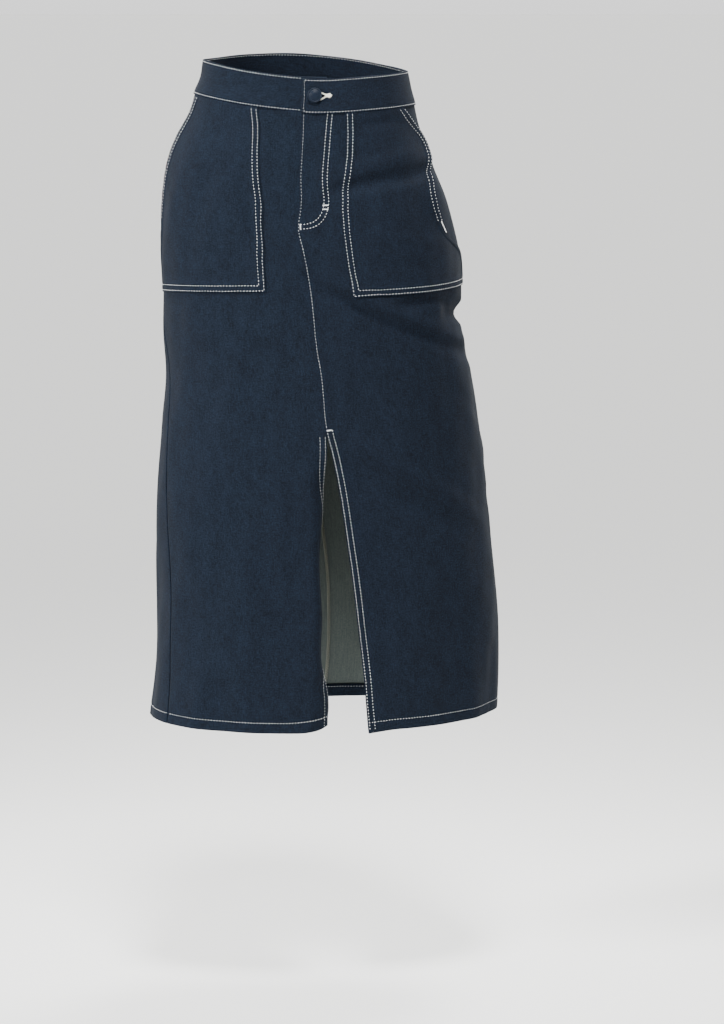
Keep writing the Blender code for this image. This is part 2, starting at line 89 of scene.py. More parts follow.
# The waistband: its outer end stops at the centre front and its inner end runs on behind it
BAND_OUTER_END_TURN = -1.2
BAND_INNER_END_TURN = 13.0
BAND_STEP_TURNS = (344.0, 357.0)
BAND_STEP = 2.9
BAND_WALL = 2.6
BAND_LIFT = -0.1
BAND_FOOT_LIFT = 0.7
BAND_SAG = -2.4
BAND_SAG_TURNS = (-1.2, 42.0)
BAND_END_ROW = 2.4
BAND_CORNER_CUT = 2.2
BAND_EDGE_ROUND = 1.2
BAND_CORNER_ROUND = 2.0
BAND_TOP_ROW = 18.9
BAND_FOOT_ROW = -18.7
# How much its face swells, and the ripples along its edges: where each starts round the ring,
# where it is highest and how high
BAND_PUFF = 0.3
BAND_PUCKERS = ((0.0, BAND_TOP, 0.11), (9.0, BAND_FOOT, 0.13))
BAND_PUCKER_WIDTH = 5.0
# Its edges waver, in waves with a height, the length over which they turn one radian and a
# start in radians. Its middle, up to the height below, doesn't.
BAND_WAVERS = ((0.25, 31.0, 0.0), (0.15, 13.0, 1.0))
BAND_WAVER_START = 15.0
# Its grid, closest at the two ends
BAND_ROW = 2.9
BAND_END_COLUMNS = (0.0, 0.12, 0.35, 0.7, 1.1, 1.5, 1.9, 2.6, 3.4, 4.6)
BAND_END_REACH = 6.5

# Folded edges: how far the cloth is turned under, and where their stitches run. An edge that
# is turned under inside its neighbour's is trimmed, so that it ends short of the neighbour's.
SEAM_ALLOWANCE = 11.0
TURNED_TRIM = 2.4
SLIT_FACING = 12.0
HEM_TURN_UP = 15.5
HEM_ROW = 12.8
EDGE_ROW = 1.8
SECOND_ROW = 7.9
SLIT_SECOND_ROW = 8.3
# The slit's second row starts this far below its top, and its groove fades in over a length
SLIT_ROW_START = 4.0
SLIT_ROW_FADE = 6.0
POCKET_TURN_UNDER = 9.5
GROOVE_DEPTH = 0.28
GROOVE_WIDTH = 0.8
FOLD_STEPS = 6
# The ripples along each kind of edge: where they are highest, how wide and how high they are
EDGE_PUCKER = (5.0, 5.0, 0.16)
HEM_PUCKER = (6.5, 6.5, 0.2)
POCKET_PUCKER = (4.8, 4.5, 0.14)
# The waves that ripples are made of: how high and how long each is, and its start in radians
RIPPLES = ((1.0, 17.0, 0.0), (0.7, 26.5, 1.1), (0.5, 12.3, 2.3))
# How much the ripples lean along the hem, as its twill does, and where those of a pocket's
# mouth start
HEM_LEAN = 0.8
MOUTH_RIPPLE_START = 5.0
# How much wider the seams' folds are inside the hem, where they wrap twice as much cloth, how
# far above the turn-up this ends and over what height
HEM_FOLD = 1.1
HEM_FOLD_END = 5.0
HEM_FOLD_FADE = 4.0
# A grid line is on the face below the first angle round its fold, in radians, and well round
# to the back above the second
FACE_ANGLE = 0.1
BACK_ANGLE = 1.7

# How far the left front laps over the right one along the centre front seam
LAP = 1.2
LAP_LIFT = 0.9
LAP_SINK = -0.35
LAP_FADE = 13.0
LAP_END_FADE = 30.0
# Above the slit the stitches run on the seam's line and the edge lies beside them. Below its
# top this changes, over this length, to the edge lying on the line.
ROW_FADE = 50.0

# The right front's edge rolls inwards down the slit. The roll starts this far in from the
# edge and turns by this many degrees in all. It tightens between the first two levels, and
# lets go by as many degrees as the last value between the next two.
CURL_WIDTH = 31.0
CURL_ANGLE = 145.0
CURL_STARTS = (-436.0, -548.0)
CURL_EASES = (-696.0, -736.0)
CURL_EASE = 92.0
# An edge that isn't rolled is worked out as one that is by this angle, in radians
LEAST_CURL = 0.001
# How far folded edges press into each other along a plain seam, on the face and in the hem
SEAM_PRESS = 0.15
HEM_PRESS = 0.6

# Wear and painted highlight on the folds at a plain seam and on the ripples of the hem: the face
# is painted lighter there, partly for abrasion and partly as the highlight light puts on folded
# edges and ripple tops. At the slit it is 1.
SEAM_WEAR_AND_HIGHLIGHT = 0.4
RIPPLE_WEAR_AND_HIGHLIGHT = 0.5

# Grid lines, inwards from an edge: at the top of a panel or pocket, and at an edge that runs
# on inside its neighbour, closest at the seam
TOP_MARKS = (0.0, 1.5, 4.0, 8.0)
PASSED_MARKS = (0.0, *(SEAM_ALLOWANCE + step for step in (-3, -2, -1, 0, 1, 2, 3, 8)))
# The last line at an edge that is turned under and at the hem, and how far past the edge's
# rows of stitches it is at least
TURNED_REACH = 11.0
HEM_REACH = 18.0
PAST_ROW = 3.5
# The widest steps between grid lines: near a plain edge, on the part turned under, near a
# turned edge, across and up a panel, on a pocket, and round the waistband in degrees
PLAIN_STEP = 3.0
UNDER_STEP = 4.5
TURNED_STEP = 2.6
PANEL_COLUMN = 4.0
PANEL_ROW = 4.2
POCKET_CELL = 3.2
BAND_TURN_STEP = 1.3

# How far the surface is stepped along, in degrees and millimetres, to measure it
TURN_PROBE = 0.3
LEVEL_PROBE = 0.5


def table(names, *rows):
    """Rows of numbers as one array for each named column, the lowest level first."""
    columns = zip(*sorted(rows))
    return {name: np.array(values, float) for name, values in zip(names.split(), columns)}


# The rings of the skirt: how far each reaches to the wearer's right and left, to the front
# and to the back, how much its front dips and its right side rises, how square its corners
# are, how many degrees it is turned towards the wearer's left and how much its sides rise.
RINGS = table(
    "level  right   left   front   back   dip   roll  square  yaw  side_rise",
    (21.5, -122.5, 125, 91, 93, 12.3, 7, 0.12, 0, 0),
    (0, -125.5, 129, 93.5, 95.5, 12.3, 7, 0.12, 0, 0),
    (-20.5, -133.5, 134, 96.5, 99, 12.2, 6.8, 0.13, 0, 0),
    (-45, -141, 139.5, 101, 105.5, 11.8, 6.4, 0.14, 0, 0),
    (-72, -153.5, 149.5, 106, 112.5, 11, 5.8, 0.15, 0, 0),
    (-100, -164, 158.8, 110.5, 119, 10, 5.1, 0.16, 0, 0),
    (-130, -170.5, 171, 114, 125, 8.8, 4.4, 0.17, 0, 0),
    (-165, -174.8, 180.6, 117, 130.5, 7.4, 3.5, 0.18, 0, 0),
    (-205, -176, 188.6, 119, 133, 5.8, 2.6, 0.19, 0, 0),
    (-248, -174, 191.5, 120, 132.5, 4.2, 1.6, 0.20, 0, 0),
    (-300, -173.4, 193.5, 120, 130.5, 2.4, 0.6, 0.20, 1, 0),
    (-350, -170, 204, 119.5, 128.5, 1, -0.4, 0.20, 2.5, 0),
    (-410, -176.2, 213.4, 119, 127, 0, -1.4, 0.20, 4, 0),
    (-520, -184.6, 226.5, 118.5, 125, 0, -2.4, 0.20, 7, 1),
    (-640, -182.4, 239.6, 119, 124, 0, -2.8, 0.20, 8, 3.5),
    (-740, -188, 241.5, 120, 124, 0, -2.2, 0.20, 8.6, 6),
    (-783.5, -193.5, 240.3, 120.5, 124.5, 0, -1.5, 0.20, 9, 7),
)

# Where the seams run, as turns. Below the slit's top each front panel has its own edge.
SEAMS = table(
    "level  right_side  right_slit  left_slit  left_side  back",
    (20.5, -89, -0.6, -0.6, 91, 180),
    (-20.5, -89, 0.2, 0.2, 91, 180),
    (-90, -88.5, 0.1, 0.1, 91.5, 180),
    (-135, -88.2, -1, -1, 91.8, 180),
    (-166, -88, -2.7, -2.7, 92, 180),
    (-190, -87.8, -1.6, -1.6, 92, 180),
    (-225, -87, -0.4, -0.4, 92, 180),
    (-290, -84, 0.8, 0.8, 92, 180),
    (-340, -80, 0, 0, 92, 180),
    (-390, -75.5, -0.1, -0.1, 92, 180),
    (-411, -74.5, 0.2, 0.2, 92, 180),
    (-440, -73.5, -0.3, 1.3, 92, 180),
    (-500, -73, -2.4, 3.1, 91.5, 180),
    (-570, -72, -5.6, 4.1, 91, 179),
    (-640, -72, -6.1, 5.1, 91, 178.2),
    (-705, -71.5, -6, 7, 91, 177.8),
    (-722, -71, -4.6, 7.6, 91, 177.7),
    (-740, -70.5, -3.6, 8.1, 91, 177.7),
    (-783.5, -69.5, -3.1, 9.8, 91, 177.6),
)

# A patch pocket's inner edge and slanted mouth, as turns, and how far the mouth gapes
RIGHT_POCKET = table(
    "level  inner  mouth  gape",
    (-18, -24.5, -76.4, 0),
    (-45, -21.6, -78.5, 1.5),
    (-75, -19.5, -81.5, 3),
    (-110, -17.6, -83, 2.6),
    (-145, -16.7, -83.5, 1.2),
    (-172, -16.9, -83.5, 0),
    (-262, -16.9, -82, 0),
)
LEFT_POCKET = table(
    "level  inner  mouth  gape",
    (-18, 22.2, 62.6, 0),
    (-30, 22, 67.4, 1),
    (-45, 21.8, 73.8, 2),
    (-60, 21, 78.2, 3),
    (-75, 20.2, 78.8, 3.4),
    (-86, 19.3, 77, 3.8),
    (-97, 18.3, 73.8, 4.4),
    (-108, 17.1, 70, 4.8),
    (-118, 16.2, 67, 5),
    (-128, 15.5, 65.2, 4.9),
    (-141, 14.8, 64.6, 4.4),
    (-155, 14.6, 65.6, 3.2),
    (-168, 14.4, 67.8, 1.2),
    (-180, 14.4, 71.2, 0),
    (-200, 14.5, 78, 0),
    (-262, 16.4, 84.5, 0),
)
GAPE_WIDTH = 26.0
GAPE_CURVE = 1.5
MOUTH_END_FADE = 40.0
# How far a pocket lies off its front, and over what widths its turned edges lie on top of it
POCKET_GAP = 0.15
POCKET_EDGE_FADE = 3.0
POCKET_TOP_FADE = 8.0
POCKET_TOP_DROP = 0.4

# The main folds: three places on each spine, its half width and its height. A height below
# zero is a trough. Each fold fades towards both ends of its spine.
FOLD_NAMES = "name turn_a level_a turn_b level_b turn_c level_c half_width height"
MAIN_FOLDS = (
    ("left_pocket_crease", 8, -121, 40, -105, 88, -97, 14, -4.2),
    ("left_pocket_swell", 12, -96, 40, -84, 72, -76, 15, 2),
    ("drag_trough", -26, -104, 6, -244, 96, -344, 15, -4.6),
    ("drag_ridge", -2, -150, 26, -262, 92, -312, 17, 3.8),
    ("pocket_foot_crease", 32, -264, 60, -258, 86, -272, 11, -4.2),
    ("hip_notch", 58, -271, 92, -281, 124, -284, 17, -9),
    ("slit_ridge", -1, -402, 27, -468, 68, -538, 18, 3.8),
    ("slit_trough", 2, -446, 24, -502, 56, -550, 18, -3.4),
    ("band_dip", 28, -38, 42, -36, 58, -34, 9, -1.6),
    ("right_hip_hollow", -40, -96, -46, -128, -44, -165, 22, -1.6),
    ("right_thigh_hollow", -20, -300, -26, -360, -22, -430, 30, -1.8),
    ("right_lower_ridge", -30, -520, -34, -640, -30, -800, 34, 2.2),
    ("left_lower_trough", 34, -560, 40, -670, 42, -810, 32, -2.2),
    ("seat_ridge_left", 158, -300, 140, -360, 112, -392, 20, 3),
    ("seat_trough_left", 150, -325, 132, -388, 104, -430, 22, -3),
    ("seat_trough_right", 196, -292, 214, -345, 246, -372, 20, -3.2),
    ("seat_ridge_right", 200, -318, 220, -376, 250, -408, 22, 2.6),
    ("back_lower_trough", 166, -480, 160, -640, 163, -820, 34, -4),
    ("back_lower_ridge", 205, -500, 212, -650, 208, -820, 36, 3.6),
    ("side_ripple", 118, -420, 122, -600, 120, -820, 30, 3.2),
    ("back_waist_crease", 150, -62, 176, -70, 206, -60, 10, -2.2),
)
# Smaller creases that lie between the main folds
CREASES = (
    ("fly_pull_upper", -3, -70, 7, -62, 18, -60, 6, 0.5),
    ("fly_pull_lower", 1, -146, 8, -138, 19, -136, 7, -0.5),
    ("fly_drag", -16, -168, -8, -196, -2, -232, 9, 0.8),
    ("fly_hollow", -23, -118, -12, -144, 0, -178, 10, -1.8),
    ("right_pocket_break", -78, -118, -60, -136, -38, -146, 10, -0.8),
    ("right_pocket_soft", -70, -176, -50, -188, -28, -190, 13, 0.7),
    ("right_pocket_foot", -76, -226, -58, -232, -36, -228, 9, -0.6),
    ("left_pocket_low", 22, -172, 42, -180, 66, -190, 13, 0.8),
    ("left_pocket_hollow", 20, -206, 40, -214, 60, -212, 13, -0.9),
    ("left_band_pull", 20, -52, 30, -64, 44, -70, 8, 0.6),
    ("right_band_pull", -30, -34, -38, -52, -52, -64, 9, -0.6),
    ("left_hip_fan_a", 48, -300, 66, -296, 90, -306, 10, -1.2),
    ("left_hip_fan_b", 56, -322, 72, -330, 92, -352, 12, 1),
    ("left_hip_fan_c", 40, -352, 62, -378, 88, -420, 15, -0.9),
    ("centre_drag_a", 2, -300, 14, -330, 30, -352, 13, 0.9),
    ("centre_drag_b", -2, -350, 10, -380, 26, -408, 13, -0.8),
    ("right_drag_a", -60, -276, -44, -300, -22, -336, 16, 0.9),
    ("right_drag_b", -68, -330, -50, -360, -28, -402, 18, -0.8),
    ("right_drag_c", -62, -420, -44, -452, -20, -484, 20, 0.8),
    ("right_edge_roll", -16, -470, -19, -560, -17, -650, 14, 1.3),
    ("slit_side_dent", 12, -560, 15, -610, 14, -680, 13, -1),
    ("left_knee_a", 20, -590, 38, -606, 60, -600, 18, 1),
    ("left_knee_b", 24, -640, 42, -660, 66, -648, 20, -1),
    ("right_knee_a", -64, -586, -44, -600, -24, -592, 20, 0.9),
    ("right_knee_b", -60, -642, -42, -656, -20, -650, 18, -0.8),
    ("right_hem_wave_a", -52, -700, -52, -750, -51, -830, 20, 1.5),
    ("right_hem_wave_b", -40, -716, -40, -758, -39, -830, 16, -1.2),
    ("left_hem_wave_a", 52, -704, 54, -752, 55, -830, 20, 1.4),
    ("left_hem_wave_b", 66, -690, 68, -740, 69, -830, 18, -1.5),
    ("left_hem_wave_c", 22, -720, 23, -760, 24, -830, 14, 1.1),
    ("left_side_drag_a", 84, -440, 96, -470, 112, -520, 20, 1.8),
    ("left_side_drag_b", 82, -500, 94, -540, 108, -600, 20, -1.6),
    ("seat_smile_left", 172, -228, 150, -250, 124, -246, 15, -1.8),
    ("seat_smile_right", 188, -226, 210, -246, 238, -240, 15, -1.8),
    ("seat_under_left", 170, -262, 150, -284, 128, -286, 16, 1.4),
    ("seat_under_right", 190, -258, 212, -278, 240, -280, 16, 1.5),
    ("back_waist_left", 120, -40, 134, -50, 148, -46, 9, -0.8),
    ("back_waist_right", 212, -46, 226, -52, 242, -42, 9, -0.8),
    ("back_drag_a", 184, -420, 202, -452, 226, -478, 20, 1.6),
    ("back_drag_b", 178, -470, 158, -506, 132, -524, 22, -1.6),
    ("back_knee_left", 172, -560, 150, -574, 128, -566, 22, 1.4),
    ("back_knee_right", 186, -590, 214, -606, 240, -598, 22, -1.4),
    ("back_hem_wave_a", 140, -690, 139, -746, 138, -830, 22, 2.2),
    ("back_hem_wave_b", 185, -680, 186, -740, 188, -830, 20, 1.8),
    ("back_hem_wave_c", 232, -700, 234, -752, 236, -830, 20, -2),
    ("right_side_wave", 264, -560, 262, -680, 263, -830, 26, 1.8),
)
SPINE_STEPS = 12

# Slow unevenness of the whole cloth: how high each wave is, how many go round the ring, how
# long it is down the skirt and where it starts, in turns of the wave
WAVES = (
    (0.55, 7, 310.0, 0.10),
    (0.40, 11, -230.0, 0.55),
    (0.28, 17, 170.0, 0.30),
    (0.20, 26, -120.0, 0.80),
)
WAVE_FADE = (-40.0, -150.0)

# What differs between the four panels: the seams at their low and high turns, the kind of
# edge there and how wide each is cut at its widest. A turned edge is folded under, a passed
# edge runs on inside its turned neighbour, and a slit's edge is folded and stitched down.
PANELS = {
    "front_right": {"low": "right_side", "low_edge": "passed",
                    "high": "right_slit", "high_edge": "slit", "width": 255.0},
    "front_left": {"low": "left_slit", "low_edge": "slit",
                   "high": "left_side", "high_edge": "passed", "width": 285.0},
    "back_left": {"low": "left_side", "low_edge": "turned",
                  "high": "back", "high_edge": "turned", "width": 290.0},
    "back_right": {"low": "back", "low_edge": "passed",
                   "high": "right_side", "high_edge": "turned", "width": 300.0},
}
# A passed edge dips inwards between these distances from its seam, and this far clear of the
# folded edge that lies over it
PASSED_DIP = (3.2, -1.6)
PASSED_GAP = 0.15
POCKETS = {
    "pocket_right": {
        "way": -1, "rows": RIGHT_POCKET, "seam": "right_side", "foot": (-244.0, -255.0),
        "mouth_end": -184.0, "rows_end": -168.0, "width": 190.0,
    },
    "pocket_left": {
        "way": 1, "rows": LEFT_POCKET, "seam": "left_side", "foot": (-249.0, -244.5),
        "mouth_end": -178.0, "rows_end": -162.0, "width": 185.0,
    },
}
# How far the slit's corners of the two fronts ride up or hang down at the hem
CORNER_RISE = {"front_right": 8.0, "front_left": -3.0}
CORNER_RISE_WIDTH = 45.0
CORNER_RISE_HEIGHT = 120.0


def srgb(code):
    """A colour's linear red, green and blue, from its sRGB hex code."""
    parts = [int(code[place:place + 2], 16) / 255 for place in (1, 3, 5)]
    return tuple(p / 12.92 if p <= 0.04045 else ((p + 0.055) / 1.055) ** 2.4 for p in parts)


def length_property(name, description, usual, least, most):
    """A length for the user to change, in millimetres."""
    return bpy.props.FloatProperty(
        name=name, description=description, default=usual * MM, min=least * MM,
        max=most * MM, subtype="DISTANCE", precision=5)


def colour_property(name, description, code):
    """A colour for the user to change, as an sRGB hex code."""
    return bpy.props.FloatVectorProperty(
        name=name, description=description, default=srgb(code), min=0.0, max=1.0, size=3,
        subtype="COLOR")


class SkirtSizes(bpy.types.PropertyGroup):
    """Sizes of the cloth and its sewing."""

    wall: length_property("Cloth", "Thickness of one layer of denim", 0.9, 0.5, 1.5)
    fold_radius: length_property(
        "Fold", "Outer radius of a folded edge, just over the cloth's thickness",
        0.95, 0.55, 1.6)
    # Real stitches are about 3.2 mm long. These are long enough to be told apart from afar.
    stitch_length: length_property(
        "Stitch", "From one needle hole of the topstitching to the next", 3.8, 2.0, 5.0)
    stitch_gap: length_property(
        "Needle hole", "Gap between one stitch and the next", 2.1, 0.0, 2.6)
    thread_width: length_property(
        "Thread", "Width of the topstitching thread", 0.66, 0.3, 1.2)


class SkirtColours(bpy.types.PropertyGroup):
    """Colours of the cloth, thread and fastenings."""

    indigo: colour_property("Indigo", "Dyed warp yarn of the denim's face", "#070a10")
    weft: colour_property(
        "Weft", "Undyed weft that shows between the warp floats", "#161f2c")
    reverse: colour_property("Reverse", "Weft-faced reverse of the denim", "#535a55")
    thread: colour_property("Topstitching", "Off-white topstitching thread", "#ecedec")
    buttonhole: colour_property("Buttonhole", "Cream buttonhole thread", "#efeddc")
    button: colour_property("Button", "Navy enamel of the button", "#0e1520")
    overlock: colour_property(
        "Overlocking", "Grey-brown overlock thread inside the seams", "#8f8d7c")
    tape: colour_property("Zip tape", "Woven polyester tape of the zip", "#1b2740")
    brass: colour_property("Brass", "Brass of the zip's teeth and slider", "#c09a5b")
    floor: colour_property("Floor", "Pale studio floor", "#f4f4f2")


def sizes():
    """The sizes set in the scene."""
    return bpy.context.scene.skirt_sizes


def colours():
    """The colours set in the scene."""
    return bpy.context.scene.skirt_colours


# The surface ----------------------------------------------------------------------------


def read(rows, name, level):
    """A column's value at any level, on a smooth curve through the table's rows."""
    knots = rows["level"]
    values = rows[name]
    slopes = np.gradient(values, knots)
    level = np.clip(level, knots[0], knots[-1])
    low = np.clip(np.searchsorted(knots, level) - 1, 0, len(knots) - 2)
    span = knots[low + 1] - knots[low]
    t = (level - knots[low]) / span
    near = (1 + 2 * t) * (1 - t) ** 2 * values[low] + t * (1 - t) ** 2 * span * slopes[low]
    far = t * t * (3 - 2 * t) * values[low + 1] + t * t * (t - 1) * span * slopes[low + 1]
    return near + far


def smooth(value):
    """A share from 0 to 1 that starts and ends gently."""
    value = np.clip(value, 0, 1)
    return value * value * (3 - 2 * value)


def body(turn, level):
    """The skirt's outer face without its folds."""
    turn, level = np.broadcast_arrays(np.asarray(turn, float), np.asarray(level, float))
    side = np.sin(np.radians(turn))
    ahead = np.cos(np.radians(turn))
    right = read(RINGS, "right", level)
    left = read(RINGS, "left", level)
    depth = np.where(ahead > 0, read(RINGS, "front", level), read(RINGS, "back", level))
    across = (left - right) / 2 * side
    back = -depth * ahead * (1 + read(RINGS, "square", level) * side ** 2)
    yaw = np.radians(read(RINGS, "yaw", level))
    x = (left + right) / 2 + across * np.cos(yaw) - back * np.sin(yaw)
    y = across * np.sin(yaw) + back * np.cos(yaw)
    z = level - read(RINGS, "roll", level) * side
    z = z - read(RINGS, "dip", level) * ahead * np.abs(ahead)
    z = z + read(RINGS, "side_rise", level) * side ** 2
    return np.stack((x, y, z), axis=-1)


def face_normal(face, turn, level):
    """Unit normals that point out of a face, by stepping a little round it and down it."""
    across = face(turn + TURN_PROBE, level) - face(turn - TURN_PROBE, level)
    down = face(turn, level - LEVEL_PROBE) - face(turn, level + LEVEL_PROBE)
    normal = np.cross(down, across)
    return normal / np.linalg.norm(normal, axis=-1, keepdims=True)


def fold_spine(turns, levels):
    """Points along a fold's spine, on a parabola through its three places."""
    t = np.linspace(0, 1, SPINE_STEPS + 1)
    weights = ((1 - t) * (1 - 2 * t), 4 * t * (1 - t), t * (2 * t - 1))
    turn = sum(weight * value for weight, value in zip(weights, turns))
    level = sum(weight * value for weight, value in zip(weights, levels))
    return body(turn, level)


def all_folds():
    """Every fold and crease, with its spine worked out."""
    folds = []
    for row in MAIN_FOLDS + CREASES:
        fold = dict(zip(FOLD_NAMES.split(), row))
        fold["spine"] = fold_spine(
            (fold["turn_a"], fold["turn_b"], fold["turn_c"]),
            (fold["level_a"], fold["level_b"], fold["level_c"]),
        )
        folds.append(fold)
    return folds


FOLDS = all_folds()


def fold_height(points, fold):
    """How far one fold moves each point out: full on its spine, none at its half width."""
    spine = fold["spine"]
    nearest = np.full(len(points), np.inf)
    along = np.zeros(len(points))
    for step in range(SPINE_STEPS):
        run = spine[step + 1] - spine[step]
        t = np.clip((points - spine[step]) @ run / np.dot(run, run), 0, 1)
        distance = np.linalg.norm(points - spine[step] - t[:, None] * run, axis=1)
        closer = distance < nearest
        nearest = np.where(closer, distance, nearest)
        along = np.where(closer, (step + t) / SPINE_STEPS, along)
    across = np.clip(1 - (nearest / fold["half_width"]) ** 2, 0, 1) ** 2
    return fold["height"] * across * (1 - (2 * along - 1) ** 4)


def unevenness(turn, level):
    """Slow waves that keep the cloth from lying dead smooth. They fade out at the waist."""
    height = 0.0
    for rise, count, length, start in WAVES:
        height = height + rise * np.sin(np.radians(count * turn)
                                        + 2 * math.pi * (level / length + start))
    return height * smooth((level - WAVE_FADE[0]) / (WAVE_FADE[1] - WAVE_FADE[0]))


def folded(turn, level):
    """The skirt's outer face with its folds."""
    turn, level = np.broadcast_arrays(np.asarray(turn, float), np.asarray(level, float))
    points = body(turn, level).reshape(-1, 3)
    height = unevenness(turn, level).reshape(-1).copy()
    for fold in FOLDS:
        low = fold["spine"].min(axis=0) - fold["half_width"]
        high = fold["spine"].max(axis=0) + fold["half_width"]
        near = np.all((points > low) & (points < high), axis=1)
        if near.any():
            height[near] += fold_height(points[near], fold)
    normal = face_normal(body, turn, level)
    return points.reshape(normal.shape) + height.reshape(turn.shape)[..., None] * normal


def cloth(turn, level, lift=0.0):
    """Points on the folded cloth, moved out of its outer face by a lift."""
    turn, level, lift = np.broadcast_arrays(turn, level, np.asarray(lift, float))
    return folded(turn, level) + lift[..., None] * face_normal(folded, turn, level)


def turn_per_mm(turn, level):
    """Degrees of turn for each millimetre round the ring."""
    step = body(turn + TURN_PROBE, level) - body(turn - TURN_PROBE, level)
    return 2 * TURN_PROBE / np.linalg.norm(step, axis=-1)


# Grid lines and folded edges ------------------------------------------------------------


def filled(marks, widest):
    """More marks between those given, so that none is further than widest from the next."""
    out = [marks[0]]
    for mark in marks[1:]:
        start = out[-1]
        steps = max(1, math.ceil((mark - start) / widest))
        out += [start + (mark - start) * step / steps for step in range(1, steps + 1)]
    return out


def plain_edge(marks):
    """Grid lines at an edge that is not turned: an angle of none, and runs into the cloth."""
    runs = filled(marks, PLAIN_STEP)
    return np.zeros(len(runs)), np.array(runs)


def turned_edge(under, rows=(), reach=TURNED_REACH):
    """Grid lines at an edge that is turned under: those on the part turned under, those round
    the fold, and those on the face, with three at each row of stitches."""
    radius = sizes().fold_radius / MM
    back_runs = filled([0.0, under], UNDER_STEP)[:0:-1]
    angles = np.linspace(math.pi, 0, FOLD_STEPS + 1)
    marks = [0.0]
    for row in rows:
        marks += [row - radius - GROOVE_WIDTH, row - radius, row - radius + GROOVE_WIDTH]
    marks = [mark for mark in marks if mark >= 0] + [max(reach, marks[-1] + PAST_ROW)]
    face_runs = filled(marks, TURNED_STEP)[1:]
    angle = np.concatenate((np.full(len(back_runs), math.pi), angles, np.zeros(len(face_runs))))
    run = np.concatenate((back_runs, np.zeros(len(angles)), face_runs))
    return angle, run


def grid_lines(low_edge, high_edge, length, spacing):
    """The lines of a whole grid: those of both edges, and evenly spread ones between them."""
    low_angle, low_run = low_edge
    high_angle, high_run = high_edge
    middle = max(1, round((length - low_run[-1] - high_run[-1]) / spacing))
    after_low = middle + len(high_run)
    before_high = len(low_run) + middle
    return {
        "low_angle": np.concatenate((low_angle, np.zeros(after_low))),
        "low_run": np.concatenate((low_run, np.full(after_low, low_run[-1]))),
        "high_angle": np.concatenate((np.zeros(before_high), high_angle[::-1])),
        "high_run": np.concatenate((np.full(before_high, high_run[-1]), high_run[::-1])),
        "share": np.concatenate((
            np.zeros(len(low_run)), np.arange(1, middle + 1) / (middle + 1),
            np.ones(len(high_run)),
        )),
    }


def turned(angle, run, depth, radius):
    """How far inside a folded edge, and how deep below the face, a layer of cloth lies."""
    inward = radius + run - (radius + depth) * np.sin(angle)
    deep = (radius + depth) * np.cos(angle) - radius
    return inward, deep


def laid(lines, low, high, low_per_mm, high_per_mm, depth, low_radius, high_radius):
    """Where a grid's lines lie between two edges, and how deep below the face."""
    low_in, low_deep = turned(lines["low_angle"], lines["low_run"], depth, low_radius)
    high_in, high_deep = turned(lines["high_angle"], lines["high_run"], depth, high_radius)
    near = low + low_in * low_per_mm
    far = high - high_in * high_per_mm
    place = near + (far - near) * lines["share"]
    return place, np.where(lines["share"] < 0.5, low_deep, high_deep)


def panel_edge(kind):
    """Grid lines at a panel's edge."""
    if kind == "passed":
        return plain_edge(PASSED_MARKS)
    if kind == "slit":
        return turned_edge(SLIT_FACING, (EDGE_ROW, SLIT_SECOND_ROW))
    return turned_edge(SEAM_ALLOWANCE - TURNED_TRIM)


def curl_angle(level):
    """How far the right front's slit edge has rolled inwards at a level, in radians."""
    tightens = smooth((level - CURL_STARTS[0]) / (CURL_STARTS[1] - CURL_STARTS[0]))
    eases = smooth((level - CURL_EASES[0]) / (CURL_EASES[1] - CURL_EASES[0]))
    return np.radians(CURL_ANGLE * tightens - CURL_EASE * eases)


def curled(inward, depth, angle):
    """Where a place inside a rolled edge and below its face lies: how far in from the roll's
    outermost line, and how far out of the skirt's own surface."""
    angle = np.maximum(angle, LEAST_CURL)
    lean = angle * np.clip(1 - inward / CURL_WIDTH, 0, 1)
    bow = CURL_WIDTH / angle
    outermost = np.sin(np.minimum(angle, math.pi / 2))
    reach = bow * (outermost - np.sin(lean)) + np.clip(inward - CURL_WIDTH, 0, None)
    rise = -bow * (1 - np.cos(lean))
    return reach - depth * np.sin(lean), rise + depth * np.cos(lean)


def left_edge_shift(level):
    """How far the left front's edge lies beside its seam's line, where its stitches run."""
    return EDGE_ROW * smooth((level - SLIT_TOP) / ROW_FADE + 1)


def joined_share(level):
    """1 where the two fronts are joined, above the slit, and 0 down it."""
    return smooth((level - SLIT_TOP + LAP_END_FADE) / LAP_END_FADE)


def right_edge_shift(level):
    """How far the right front's edge runs on under the left one."""
    return (LAP - EDGE_ROW) * joined_share(level)


def pocket_mouth(pocket, level):
    """A pocket's mouth as turns, and how far its edge has run on to the side seam, as a share
    that grows from 0 below the mouth's end."""
    below = smooth((pocket["mouth_end"] - level) / MOUTH_END_FADE)
    seam = read(SEAMS, pocket["seam"], level)
    return read(pocket["rows"], "mouth", level) * (1 - below) + seam * below, below


def corner_rise(name, from_slit, above_hem):
    """How far a front's cloth is raised near its corner at the slit and the hem."""
    beside = np.clip(1 - np.abs(from_slit) / CORNER_RISE_WIDTH, 0, 1)
    above = np.clip(1 - above_hem / CORNER_RISE_HEIGHT, 0, 1)
    return CORNER_RISE.get(name, 0.0) * beside ** 2 * above ** 2


def groove(distance, rows):
    """How far the thread of each row of stitches pulls the cloth in."""
    pull = sum(np.exp(-((distance - row) / GROOVE_WIDTH) ** 2) for row in rows)
    return -GROOVE_DEPTH * pull


def pucker(along, distance, centre, width, height):
    """Small uneven ripples along a stitched edge, from the seam drawing up."""
    ripple = sum(rise * np.sin(2 * math.pi * along / length + start)
                 for rise, length, start in RIPPLES)
    return height * ripple * np.exp(-((distance - centre) / width) ** 2)


# Meshes ---------------------------------------------------------------------------------


def mesh_from(bm, name):
    """A mesh of what has been modelled."""
    mesh = bpy.data.meshes.new(name)
    bm.to_mesh(mesh)
    bm.free()
    return mesh


